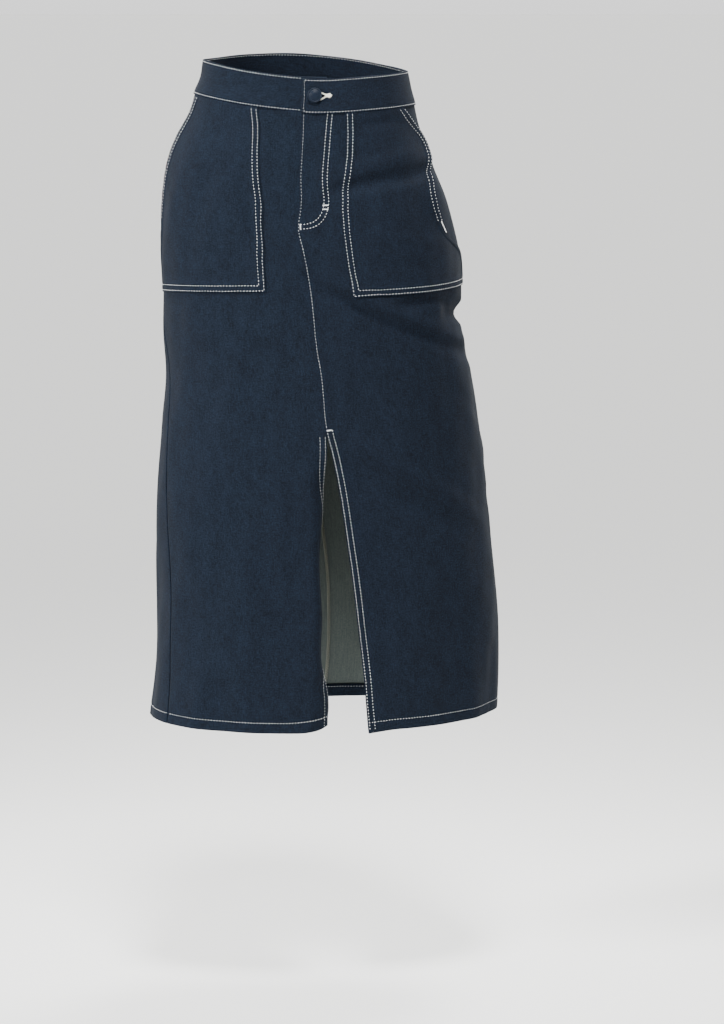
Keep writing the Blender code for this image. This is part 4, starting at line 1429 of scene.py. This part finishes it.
def stitch_mesh(name, stitches, sides, rings):
    """Many stitches joined. Each has its two ends, its normal, its width and its height."""
    form, faces = stitch_form(sides, rings)
    around = np.arctan2(form[:, 2], form[:, 1]) / (2 * math.pi)
    verts = []
    polygons = []
    threads = []
    for start, end, normal, width, height in stitches:
        run = end - start
        side = normal.cross(run).normalized()
        up = run.cross(side).normalized()
        basis = np.array((run, side * width, up * height))
        base = len(verts) * len(form)
        verts.append(form @ basis + np.array((start + end) / 2))
        polygons += [[base + index for index in face] for face in faces]
        threads.append(np.stack((form[:, 0] + 0.5, around), axis=1))
    mesh = bpy.data.meshes.new(name)
    mesh.from_pydata(np.concatenate(verts).tolist(), [], polygons)
    threads = np.concatenate(threads)
    corner_verts = np.empty(len(mesh.loops), int)
    mesh.loops.foreach_get("vertex_index", corner_verts)
    layer = mesh.uv_layers.new(name="thread")
    layer.data.foreach_set("uv", threads[corner_verts].astype("f").reshape(-1))
    return mesh


def stitches_between(holes, pitch, width):
    """Stitches from each needle hole to the next, given the holes' places and normals."""
    gap = sizes().stitch_gap
    rise, height = ROW_STITCH
    stitches = []
    for (start, start_normal), (end, end_normal) in zip(holes, holes[1:]):
        run = end - start
        if run.length < gap * NEAREST_HOLES or run.length > FURTHEST_HOLES * pitch * MM:
            continue
        trim = run.normalized() * gap / 2
        normal = (start_normal + end_normal).normalized()
        raise_by = normal * width * rise
        stitches.append((start + trim + raise_by, end - trim + raise_by, normal, width,
                         width * height))
    return stitches


def sew(tree, line, inside=False, band=False, pitch=None, width=None):
    """A row of stitches along a line of turns and levels, laid on a finished surface."""
    pitch = pitch or sizes().stitch_length / MM
    width = width or sizes().thread_width
    turn, level = even_places(line, pitch)
    return stitches_between(on_surface(tree, turn, level, inside, band), pitch, width)


def sew_roll(row):
    """A row of stitches down the right front's rolled edge, this far in from the edge."""
    pitch = sizes().stitch_length / MM
    level = np.arange(HEM_LEVEL + SLIT_ROWS_FOOT, SLIT_TOP - RIGHT_ROWS_TOP, pitch)
    edge = read(SEAMS, "right_slit", level)
    per_mm = turn_per_mm(edge, level)
    edge = edge + right_edge_shift(level) * per_mm
    level_there = level + corner_rise("front_right", row, level - HEM_LEVEL)
    places = []
    for depth in (0.0, 1.0):
        reach, lift = curled(row, depth, curl_angle(level))
        places.append(cloth(edge - reach * per_mm, level_there, lift) * MM)
    holes = [(Vector(low), (Vector(high) - Vector(low)).normalized())
             for low, high in zip(*places)]
    return stitches_between(holes, pitch, SUNK_THREAD * MM)


def sew_across(tree, line, width, pitch, thread, band=False):
    """Close stitches across a line of turns and levels, as in a bar tack or a buttonhole."""
    turn, level = even_places(line, pitch)
    middle = np.stack((turn, level), axis=1)
    low = offset_line(middle, -width / 2)
    high = offset_line(middle, width / 2)
    rise, height = ACROSS_STITCH
    stitches = []
    for start, end in zip(low, high):
        found = on_surface(tree, *np.array((start, end)).T, band=band)
        if len(found) == 2:
            (start, normal), (end, _) = found
            raise_by = normal * rise * thread * MM
            stitches.append((start + raise_by, end + raise_by, normal, thread * MM,
                             height * thread * MM))
    return stitches


def bar_tack(tree, place, direction, length):
    """A bar tack: close stitches across a short line. The direction is in degrees, 0 along
    the ring and 90 up the skirt."""
    run = math.cos(math.radians(direction)), math.sin(math.radians(direction))
    per_mm = float(turn_per_mm(*place))
    ends = [(place[0] + way * run[0] * per_mm, place[1] + way * run[1])
            for way in (-length / 2, 0.0, length / 2)]
    return sew_across(tree, curve_through(ends), TACK_WIDTH, TACK_PITCH, TACK_THREAD)


def levels_between(low, high, spacing):
    """Even levels about a spacing apart, four of them or more."""
    return np.linspace(low, high, max(4, round((high - low) / spacing)))


def seam_line(column, low, high, inset):
    """A line up a seam from one level to another, at a distance to one side of it."""
    level = levels_between(low, high, SEAM_SPACING)
    turn = read(SEAMS, column, level)
    return np.stack((turn + inset * turn_per_mm(turn, level), level), axis=1)


def pocket_line(pocket, edge, low, high, inset):
    """A line up a pocket's inner edge or its mouth, at a distance inside the pocket."""
    level = levels_between(low, high, POCKET_SPACING)
    if edge == "inner":
        way = pocket["way"]
        turn = read(pocket["rows"], "inner", level)
    else:
        way = -pocket["way"]
        turn, _ = pocket_mouth(pocket, level)
    slope = np.gradient(turn / turn_per_mm(turn, level), level)
    slant = np.sqrt(1 + slope ** 2)
    return np.stack((turn + way * inset * slant * turn_per_mm(turn, level), level), axis=1)


def pocket_foot_line(pocket, inset):
    """A line along a pocket's foot, at a distance above it."""
    share = np.linspace(0, 1, FOOT_PLACES)
    level = pocket["foot"][0] + (pocket["foot"][1] - pocket["foot"][0]) * share + inset
    inner = read(pocket["rows"], "inner", level)
    seam = read(SEAMS, pocket["seam"], level)
    way = pocket["way"]
    start = inner + way * inset * turn_per_mm(inner, level)
    end = seam - way * FOOT_ROW_END * turn_per_mm(seam, level)
    return np.stack((start + (end - start) * share, level), axis=1)


def make_stitching(name, stitches, material, sides=6, rings=5):
    """A joined piece of thread, with so many sides and rings to each stitch."""
    finished(name, stitch_mesh(name, stitches, sides, rings), "thread", material)


def overlock(seam, side):
    """Overlock thread over the raw edges of a seam's allowances, which lie to one side of it:
    loops to and fro across the edges, and a row of needle thread."""
    depth = -2 * sizes().fold_radius / MM - PASSED_GAP - sizes().wall / MM
    level = np.arange(HEM_LEVEL + HEM_TURN_UP + OVERLOCK_END, PANEL_TOP - OVERLOCK_END,
                      OVERLOCK_PITCH / 2)
    turn = read(SEAMS, seam, level)
    inset = np.full(len(level), OVERLOCK_INSET)
    inset[1::2] += OVERLOCK_WIDTH
    per_mm = side * turn_per_mm(turn, level)
    inward = -face_normal(folded, turn, level)
    stitches = []
    for (below, width), across, step in ((OVERLOCK_LOOP, inset, 1),
                                         (OVERLOCK_NEEDLE, OVERLOCK_INSET, 2)):
        points = cloth(turn + across * per_mm, level, depth - below)[::step] * MM
        for start, end, normal in zip(points, points[1:], inward[::step]):
            stitches.append((Vector(start), Vector(end), Vector(normal), width * MM, width * MM))
    return stitches


def stitch_overlock(thread):
    """Overlocked seam allowances inside the back and side seams."""
    stitches = []
    for seam, side in (("back", -1), ("left_side", 1), ("right_side", -1)):
        stitches += overlock(seam, side)
    make_stitching("seam_overlock", stitches, thread, 4, 3)


def stitch_band(thread):
    """Topstitching round the waistband's edges and down its overlapping end."""
    tree = surface_tree("waistband_denim")
    per_mm = float(turn_per_mm(0.0, 0.0))
    end = BAND_OUTER_END_TURN + BAND_END_ROW * per_mm
    past_corner = end + BAND_CORNER_CUT * per_mm
    stitches = []
    for start, height in ((end, BAND_TOP_ROW), (past_corner, BAND_FOOT_ROW)):
        turns = np.linspace(start, BAND_ROWS_END_TURN, BAND_PLACES)
        line = np.stack((turns, height + band_sag(turns)), axis=1)
        stitches += sew(tree, line, pitch=BAND_PITCH, band=True)
        stitches += sew(tree, line, pitch=BAND_PITCH, band=True, inside=True,
                        width=BOBBIN_THREAD * MM)
    corner = np.array((
        (end, BAND_TOP_ROW + BAND_SAG), (end, BAND_FOOT_ROW + BAND_CORNER_CUT + BAND_SAG),
        (past_corner, BAND_FOOT_ROW + BAND_SAG)))
    stitches += sew(tree, corner[:2], band=True, width=FINE_THREAD * MM)
    stitches += sew(tree, corner[1:], band=True)
    make_stitching("waistband_topstitching", stitches, thread)


def stitch_front(thread):
    """Edge stitching down the centre front, the fly's curve and both edges of the slit."""
    left = surface_tree("front_left_denim")
    fly_foot = FLY_OUTER[-1][1]
    stitches = sew(left, seam_line("left_slit", fly_foot, FRONT_ROW_TOP, 0.0),
                   width=FINE_THREAD * MM)
    stitches += sew(left, seam_line("left_slit", SLIT_TOP, fly_foot, 0.0),
                    width=SUNK_THREAD * MM)
    for row in (EDGE_ROW, SLIT_SECOND_ROW):
        line = seam_line("left_slit", HEM_LEVEL + SLIT_ROWS_FOOT, SLIT_TOP - LEFT_ROWS_TOP, row)
        line[:, 0] -= left_edge_shift(line[:, 1]) * turn_per_mm(line[:, 0], line[:, 1])
        stitches += sew(left, line)
        stitches += sew_roll(row)
    fly = curve_through(FLY_OUTER)
    stitches += sew(left, fly)
    inner = offset_line(fly, -FLY_ROW_GAP)
    stitches += sew(left, inner[inner[:, 0] > fly[-1, 0]])
    stitches += bar_tack(left, *SLIT_TACK)
    for level in FLY_TACKS:
        row = np.interp(-level, *np.array([(-place[1], place[0]) for place in FLY_OUTER]).T)
        middle = float(row - FLY_ROW_GAP / 2 * turn_per_mm(row, level))
        stitches += bar_tack(left, (middle, level), 0.0, FLY_ROW_GAP + FLY_TACK_REACH)
    stitches += bar_tack(left, *FLY_FOOT_TACK)
    make_stitching("front_topstitching", stitches, thread)


def stitch_pockets(thread):
    """Double rows round each patch pocket's inner edge, foot and mouth, with bar tacks."""
    for name, pocket in POCKETS.items():
        tree = surface_tree(name + "_denim")
        foot = pocket["foot"][0]
        rows_end = pocket["rows_end"]
        stitches = []
        for row in (EDGE_ROW, SECOND_ROW):
            stitches += sew(tree, pocket_line(pocket, "inner", foot + row, POCKET_ROWS_TOP, row))
            stitches += sew(tree, pocket_foot_line(pocket, row))
            stitches += sew(tree, pocket_line(pocket, "mouth", rows_end, POCKET_ROWS_TOP, row))
        tack = pocket_line(pocket, "mouth", rows_end - MOUTH_TACK, rows_end, MOUTH_TACK_INSET)
        stitches += sew_across(tree, tack, MOUTH_TACK_WIDTH, TACK_PITCH, TACK_THREAD)
        make_stitching(name + "_topstitching", stitches, thread)


def stitch_hem(thread):
    """One row round the hem, on both sides of the cloth."""
    stitches = []
    for name, panel in PANELS.items():
        tree = surface_tree(name + "_denim")
        level = HEM_LEVEL + HEM_ROW
        low = float(read(SEAMS, panel["low"], level))
        high = float(read(SEAMS, panel["high"], level))
        if high < low:
            high += 360
        per_mm = float(turn_per_mm(low, level))
        inset = HEM_ROW_INSET * per_mm
        turn = np.linspace(low + inset, high - inset, HEM_PLACES)
        from_slit = (high - turn if name == "front_right" else turn - low) / per_mm
        line = np.stack((turn, level + corner_rise(name, from_slit, HEM_ROW)), axis=1)
        stitches += sew(tree, line, pitch=BAND_PITCH)
        stitches += sew(tree, line, pitch=BAND_PITCH, inside=True, width=BOBBIN_THREAD * MM)
    make_stitching("hem_topstitching", stitches, thread)


# Fastenings -----------------------------------------------------------------------------

BUTTON_TURN = 5.4
BUTTON_LEVEL = -1.0
BUTTON_LIFT = 1.2
BUTTON_STEPS = 64
# The turned section of the button's cap and shank, from its middle outwards: radius, height
BUTTON_SECTION = (
    (0.0, 5.2), (1.4, 5.16), (2.8, 5.0), (3.9, 4.76), (4.5, 4.56), (4.72, 4.38), (5.0, 4.34),
    (5.25, 4.44), (5.7, 4.28), (6.4, 3.95), (6.9, 3.72), (7.12, 3.72), (7.3, 3.95),
    (7.5, 4.14), (7.8, 4.2), (8.15, 4.17), (8.45, 4.05), (8.66, 3.82), (8.75, 3.5),
    (8.75, 2.4), (8.65, 2.08), (8.35, 1.86), (7.9, 1.8), (2.7, 1.8), (2.6, 1.7), (2.6, 0.1),
    (0.0, 0.1),
)
# The buttonhole, in millimetres across and up from the button's middle: its two lips, the
# tack at its end, the loose ends of its thread and the sheet of painted shade between the lips
LIPS = (
    ((5.2, 4.3), (8.4, 3.1), (11.6, 1.7), (14.6, 0.8)),
    ((4.2, -5.6), (8.0, -4.2), (11.6, -2.1), (14.6, -0.6)),
)
HOLE_TACK = ((12.6, 0.1), (16.0, 0.15), (19.2, 0.3))
# Its rows of close stitches: the line of each, its width and its thread. The stitches are a
# pitch apart, and the lines are worked out at a spacing.
HOLE_ROWS = ((LIPS[0], 1.9, 0.75), (LIPS[1], 1.9, 0.75), (HOLE_TACK, 4.2, 0.8))
HOLE_PITCH = 0.5
HOLE_SPACING = 0.4
LOOSE_ENDS = (
    ((15.8, 0.8), (17.4, 3.3)), ((16.4, 0.7), (18.5, 3.0)), ((18.4, 0.5), (21.2, 0.9)),
    ((18.2, 0.0), (20.6, -0.3)), ((15.6, -0.6), (17.7, -2.9)), ((16.6, -0.8), (18.6, -2.4)),
)
LOOSE_THREAD = 0.8
LOOSE_RISE = 0.7
HOLE_PAINTED_SHADE = ((5.0, 3.2), (8.4, 1.9), (12.8, 0.1), (8.0, -2.9), (4.6, -4.4))
PAINTED_SHADE_RISE = 0.12

ZIP_TOP = -22.5
ZIP_FOOT = -166.0
TAPE_WIDTH = 26.0
TAPE_LIFT = -4.0
TAPE_BOW = 1.5
TAPE_WALL = 0.5
TAPE_ROW = 2.5
TAPE_COLUMNS = 14
# The chain of teeth starts this far above the zip's foot and ends as far below its slider
CHAIN_END = 5.0
TOOTH_PITCH = 1.3
TOOTH_SIZE = (3.1, 0.75, 1.5)
TOOTH_SIDE = 1.1
# The stop at the chain's foot, and how far out from the tape's middle it lies
STOP_SIZE = (5.0, 3.0, 1.8)
STOP_DEPTH = -0.2
SLIDER_PLACE = -29.5
# Blocks of the slider, its pull and the top stops: width, height and depth, then their middle
# from the slider's own, across, up and outwards
SLIDER_BLOCKS = (
    ((8.0, 6.4, 0.8), (0.0, 2.0, 0.9)), ((6.4, 5.4, 0.8), (0.0, -2.7, 0.9)),
    ((8.0, 6.4, 0.8), (0.0, 2.0, -1.3)), ((6.4, 5.4, 0.8), (0.0, -2.7, -1.3)),
    ((1.2, 3.2, 1.8), (0.0, 3.4, -0.2)), ((1.5, 5.6, 0.7), (0.0, 0.4, 1.45)),
    ((4.8, 15.0, 0.5), (0.0, -8.2, 1.55)),
    ((1.9, 2.2, 1.4), (-1.9, 6.1, -0.2)), ((1.9, 2.2, 1.4), (1.9, 6.1, -0.2)),
)
BLOCK_BEVEL = 0.22


def near_button(across, up):
    """A place on the waistband, millimetres across and up from the button's middle."""
    turn = BUTTON_TURN + across * float(turn_per_mm(BUTTON_TURN, BUTTON_LEVEL))
    return turn, BUTTON_LEVEL + up


def make_button(enamel):
    """The button: a domed cap with a rim and a plain ring, on its shank."""
    bm = bmesh.new()
    verts = [bm.verts.new((radius * MM, 0.0, height * MM)) for radius, height in BUTTON_SECTION]
    edges = [bm.edges.new(pair) for pair in zip(verts, verts[1:])]
    bmesh.ops.spin(bm, geom=verts + edges, cent=(0, 0, 0), axis=(0, 0, 1),
                   angle=2 * math.pi, steps=BUTTON_STEPS, use_merge=True, use_duplicate=False)
    bmesh.ops.remove_doubles(bm, verts=bm.verts, dist=WELD_DISTANCE)
    bmesh.ops.recalc_face_normals(bm, faces=bm.faces)
    normal = face_normal(body, BUTTON_TURN, BUTTON_LEVEL)
    place = Vector(body(BUTTON_TURN, BUTTON_LEVEL) + BUTTON_LIFT * normal) * MM
    turn_to = Vector(normal).to_track_quat("Z", "Y").to_matrix().to_4x4()
    bm.transform(Matrix.Translation(place) @ turn_to)
    piece = finished("button_cap", mesh_from(bm, "button_cap"), "button", enamel)
    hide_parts("button")


def make_buttonhole(thread, painted_shade):
    """The keyhole buttonhole: close stitches down both lips, its end tack, its loose thread ends
    and a dark sheet of painted shade between the lips."""
    tree = surface_tree("waistband_denim")
    stitches = []
    for places, width, yarn in HOLE_ROWS:
        line = curve_through([near_button(*place) for place in places], HOLE_SPACING)
        stitches += sew_across(tree, line, width, HOLE_PITCH, yarn, band=True)
    for ends in LOOSE_ENDS:
        places = np.array([near_button(*place) for place in ends])
        (start, normal), (end, _) = on_surface(tree, *places.T, band=True)
        raise_by = normal * LOOSE_RISE * MM
        stitches.append((start + raise_by, end + raise_by, normal, LOOSE_THREAD * MM,
                         LOOSE_THREAD * MM))
    make_stitching("buttonhole_thread", stitches, thread)
    # A flat dark sheet just over the band between the lips: painted shade where the opening is
    places = np.array([near_button(*place) for place in HOLE_PAINTED_SHADE])
    bm = bmesh.new()
    corners = [bm.verts.new(point + normal * PAINTED_SHADE_RISE * MM)
               for point, normal in on_surface(tree, *places.T, band=True)]
    bm.faces.new(corners)
    finished("buttonhole_painted_shade", mesh_from(bm, "buttonhole_painted_shade"), "denim", painted_shade)


def zip_frame(level):
    """The zip's middle at a level, with its directions across, up and outwards."""
    turn = float(read(SEAMS, "left_slit", level))
    outward = face_normal(folded, turn, level)
    middle = folded(turn, level) + (TAPE_LIFT - TAPE_WALL / 2) * outward
    above = folded(turn, level + LEVEL_PROBE) - folded(turn, level - LEVEL_PROBE)
    up = above / np.linalg.norm(above)
    across = np.cross(up, outward)
    axes = np.stack((across / np.linalg.norm(across), up, outward), axis=1)
    matrix = Matrix(axes.tolist()).to_4x4()
    matrix.translation = Vector(middle)
    return matrix


def add_block(bm, size, middle, frame, bevel=BLOCK_BEVEL):
    """Add a rounded block, in millimetres on a frame."""
    place = Matrix.Scale(MM, 4) @ frame @ Matrix.Translation(middle)
    made = bmesh.ops.create_cube(bm, size=1.0, matrix=place @ Matrix.Diagonal((*size, 1.0)))
    if bevel:
        edges = {edge for vert in made["verts"] for edge in vert.link_edges}
        bmesh.ops.bevel(bm, geom=list(edges), offset=bevel * MM, offset_type="OFFSET",
                        segments=2, profile=0.5, affect="EDGES", clamp_overlap=True,
                        material=-1)


def make_zip(tape, brass):
    """The closed zip behind the fly: its tape, its teeth and its slider with a pull tab."""
    level = np.arange(ZIP_FOOT, ZIP_TOP, TAPE_ROW)[:, None]
    across = np.linspace(-TAPE_WIDTH / 2, TAPE_WIDTH / 2, TAPE_COLUMNS)
    middle = read(SEAMS, "left_slit", level)
    bow = TAPE_LIFT + TAPE_BOW * (2 * across / TAPE_WIDTH) ** 2
    points = cloth(middle + across * turn_per_mm(middle, level), level, bow)
    mesh = grid_mesh("zip_tape", points, np.zeros(points.shape[:2]))
    woven = finished("zip_tape", mesh, "zip_tape", tape)
    shell = woven.modifiers.new("cloth", "SOLIDIFY")
    shell.thickness = TAPE_WALL * MM
    shell.offset = -1
    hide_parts("zip")
    bm = bmesh.new()
    chain = np.arange(ZIP_FOOT + CHAIN_END, SLIDER_PLACE - CHAIN_END, TOOTH_PITCH / 2)
    for step, place in enumerate(chain):
        side = 1 if step % 2 else -1
        add_block(bm, TOOTH_SIZE, (side * TOOTH_SIDE, 0.0, 0.0), zip_frame(place), 0.0)
    slider = zip_frame(SLIDER_PLACE)
    for size, middle in SLIDER_BLOCKS:
        add_block(bm, size, middle, slider)
    add_block(bm, STOP_SIZE, (0.0, 0.0, STOP_DEPTH), zip_frame(ZIP_FOOT + CHAIN_END))
    metal = finished("zip_teeth", mesh_from(bm, "zip_teeth"), "zip_metal", brass)
    metal.data.shade_flat()


# Operators ------------------------------------------------------------------------------

DENIM = []


def denim():
    """The denim's face and reverse, made once."""
    if not DENIM:
        DENIM.extend((denim_face(), denim_reverse()))
    return DENIM


class SKIRT_OT_panels(bpy.types.Operator):
    """Build the two front and two back panels"""

    bl_idname = "skirt.panels"
    bl_label = "Panels"

    def execute(self, context):
        for name in PANELS:
            make_panel(name, denim())
        return {"FINISHED"}


class SKIRT_OT_waistband(bpy.types.Operator):
    """Build the waistband"""

    bl_idname = "skirt.waistband"
    bl_label = "Waistband"

    def execute(self, context):
        make_band(denim())
        return {"FINISHED"}


class SKIRT_OT_pockets(bpy.types.Operator):
    """Build the two patch pockets"""

    bl_idname = "skirt.pockets"
    bl_label = "Patch pockets"

    def execute(self, context):
        for name in POCKETS:
            make_pocket(name, denim())
        return {"FINISHED"}


class SKIRT_OT_stitching(bpy.types.Operator):
    """Sew the topstitching of the waistband, fronts, slit, pockets and hem"""

    bl_idname = "skirt.stitching"
    bl_label = "Topstitching"

    def execute(self, context):
        thread = thread_material("core_spun_topstitch_thread", colours().thread)
        stitch_band(thread)
        stitch_front(thread)
        stitch_pockets(thread)
        stitch_hem(thread)
        return {"FINISHED"}


class SKIRT_OT_overlock(bpy.types.Operator):
    """Overlock the seam allowances inside the back and side seams"""

    bl_idname = "skirt.overlock"
    bl_label = "Overlocking"

    def execute(self, context):
        stitch_overlock(thread_material("grey_overlock_thread", colours().overlock))
        return {"FINISHED"}


class SKIRT_OT_button(bpy.types.Operator):
    """Build the button and its buttonhole"""

    bl_idname = "skirt.button"
    bl_label = "Button and buttonhole"

    def execute(self, context):
        make_button(enamel_material())
        make_buttonhole(thread_material("cream_buttonhole_thread", colours().buttonhole),
                        painted_shade_material())
        return {"FINISHED"}


class SKIRT_OT_zip(bpy.types.Operator):
    """Build the zip behind the fly"""

    bl_idname = "skirt.zip"
    bl_label = "Zip"

    def execute(self, context):
        make_zip(tape_material(), brass_material())
        return {"FINISHED"}


class SKIRT_OT_stage(bpy.types.Operator):
    """Set the floor, the lights and the camera"""

    bl_idname = "skirt.stage"
    bl_label = "Stage"

    def execute(self, context):
        make_stage()
        return {"FINISHED"}


# The stage ------------------------------------------------------------------------------

FLOOR_LEVEL = -1.12
FLOOR_SIZE = 1200.0
CAMERA_PLACE = (0.0702, -4.6, 0.0915)
CAMERA_TILT = 7.676
CAMERA_SENSOR = 24.0
CAMERA_FOCAL_PIXELS = 3750.0
IMAGE_HEIGHT = 1024
# Each light: where it stands, how wide and how strong it is, and the angle its grid lets out
LIGHTS = {
    "key": ((-3.4, -2.3, 1.3), 1.0, 27.0, 50.0),
    "fill": ((2.6, -3.8, 0.6), 2.0, 0.8, 50.0),
    "overhead": ((0.2, -1.9, 3.2), 1.0, 18.0, 45.0),
    "back": ((0.9, 1.5, 3.0), 1.6, 11.0, 45.0),
}
LIGHT_AIM = Vector((0.0, 0.0, -0.4))
# The studio's own light is weak from the camera's side and strong from behind the skirt
SKY_FRONT = 0.05
SKY_BACK = 2.8
# At the horizon it is about as bright as the floor, so that the two hardly part
HORIZON = 1.4
HAZE_HEIGHT = 0.12


def make_stage():
    """A pale floor, soft lights round the skirt and the camera in front of it."""
    bm = bmesh.new()
    bmesh.ops.create_grid(bm, x_segments=1, y_segments=1, size=FLOOR_SIZE / 2,
                          matrix=Matrix.Translation((0, 0, FLOOR_LEVEL)))
    mesh = mesh_from(bm, "floor")
    material, _ = new_material("matt_painted_floor", 0.9, Base_Color=rgba(colours().floor))
    mesh.materials.append(material)
    floor = bpy.data.objects.new("floor", mesh)
    scene = bpy.context.scene
    scene.collection.objects.link(floor)
    for name, (place, width, power, spread) in LIGHTS.items():
        lamp = bpy.data.lights.new(name + "_light", "AREA")
        lamp.shape = "DISK"
        lamp.size = width
        lamp.energy = power
        lamp.spread = math.radians(spread)
        light = bpy.data.objects.new(name + "_light", lamp)
        light.location = place
        light.rotation_euler = (LIGHT_AIM - Vector(place)).to_track_quat("-Z", "Y").to_euler()
        scene.collection.objects.link(light)
    world = bpy.data.worlds.new("studio")
    world.use_nodes = True
    tree = world.node_tree
    background = tree.nodes["Background"]
    background.inputs["Color"].default_value = (1.0, 1.0, 1.0, 1.0)
    way = add(tree, "ShaderNodeTexCoord").outputs["Generated"]
    way = add(tree, "ShaderNodeSeparateXYZ", {"Vector": way}).outputs
    strength = SKY_BACK
    for axis, low, high, start in (("Y", -1.0, 1.0, SKY_FRONT), ("Z", 0.0, HAZE_HEIGHT, HORIZON)):
        strength = add(tree, "ShaderNodeMapRange", {
            "Value": way[axis], "From Min": low, "From Max": high, "To Min": start,
            "To Max": strength}).outputs["Result"]
    tree.links.new(strength, background.inputs["Strength"])
    scene.world = world
    lens = bpy.data.cameras.new("camera")
    lens.clip_end = FLOOR_SIZE
    lens.sensor_fit = "VERTICAL"
    lens.sensor_height = CAMERA_SENSOR
    lens.lens = CAMERA_FOCAL_PIXELS / IMAGE_HEIGHT * CAMERA_SENSOR
    camera = bpy.data.objects.new("camera", lens)
    camera.location = CAMERA_PLACE
    camera.rotation_euler = (math.radians(90 - CAMERA_TILT), 0.0, 0.0)
    scene.collection.objects.link(camera)
    scene.camera = camera


class SKIRT_PT_panel(bpy.types.Panel):
    """Lists the skirt's pieces, sizes and colours"""

    bl_idname = "SKIRT_PT_panel"
    bl_label = "Denim skirt"
    bl_space_type = "VIEW_3D"
    bl_region_type = "UI"
    bl_category = "Skirt"

    def draw(self, context):
        for group in (sizes(), colours()):
            for name in group.__annotations__:
                self.layout.prop(group, name)
        for operator in OPERATORS:
            self.layout.operator(operator.bl_idname)


OPERATORS = (
    SKIRT_OT_panels, SKIRT_OT_waistband, SKIRT_OT_pockets, SKIRT_OT_stitching,
    SKIRT_OT_overlock, SKIRT_OT_button, SKIRT_OT_zip, SKIRT_OT_stage,
)
CLASSES = (SkirtSizes, SkirtColours, *OPERATORS, SKIRT_PT_panel)


def register():
    """Add the skirt's properties, operators and panel to Blender."""
    for each in CLASSES:
        bpy.utils.register_class(each)
    bpy.types.Scene.skirt_sizes = bpy.props.PointerProperty(type=SkirtSizes)
    bpy.types.Scene.skirt_colours = bpy.props.PointerProperty(type=SkirtColours)


def unregister():
    """Take them away again."""
    del bpy.types.Scene.skirt_colours
    del bpy.types.Scene.skirt_sizes
    for each in reversed(CLASSES):
        bpy.utils.unregister_class(each)


def main():
    """Build the whole skirt and its stage."""
    register()
    for operator in OPERATORS:
        group, name = operator.bl_idname.split(".")
        getattr(getattr(bpy.ops, group), name)()


if __name__ == "__main__":
    main()
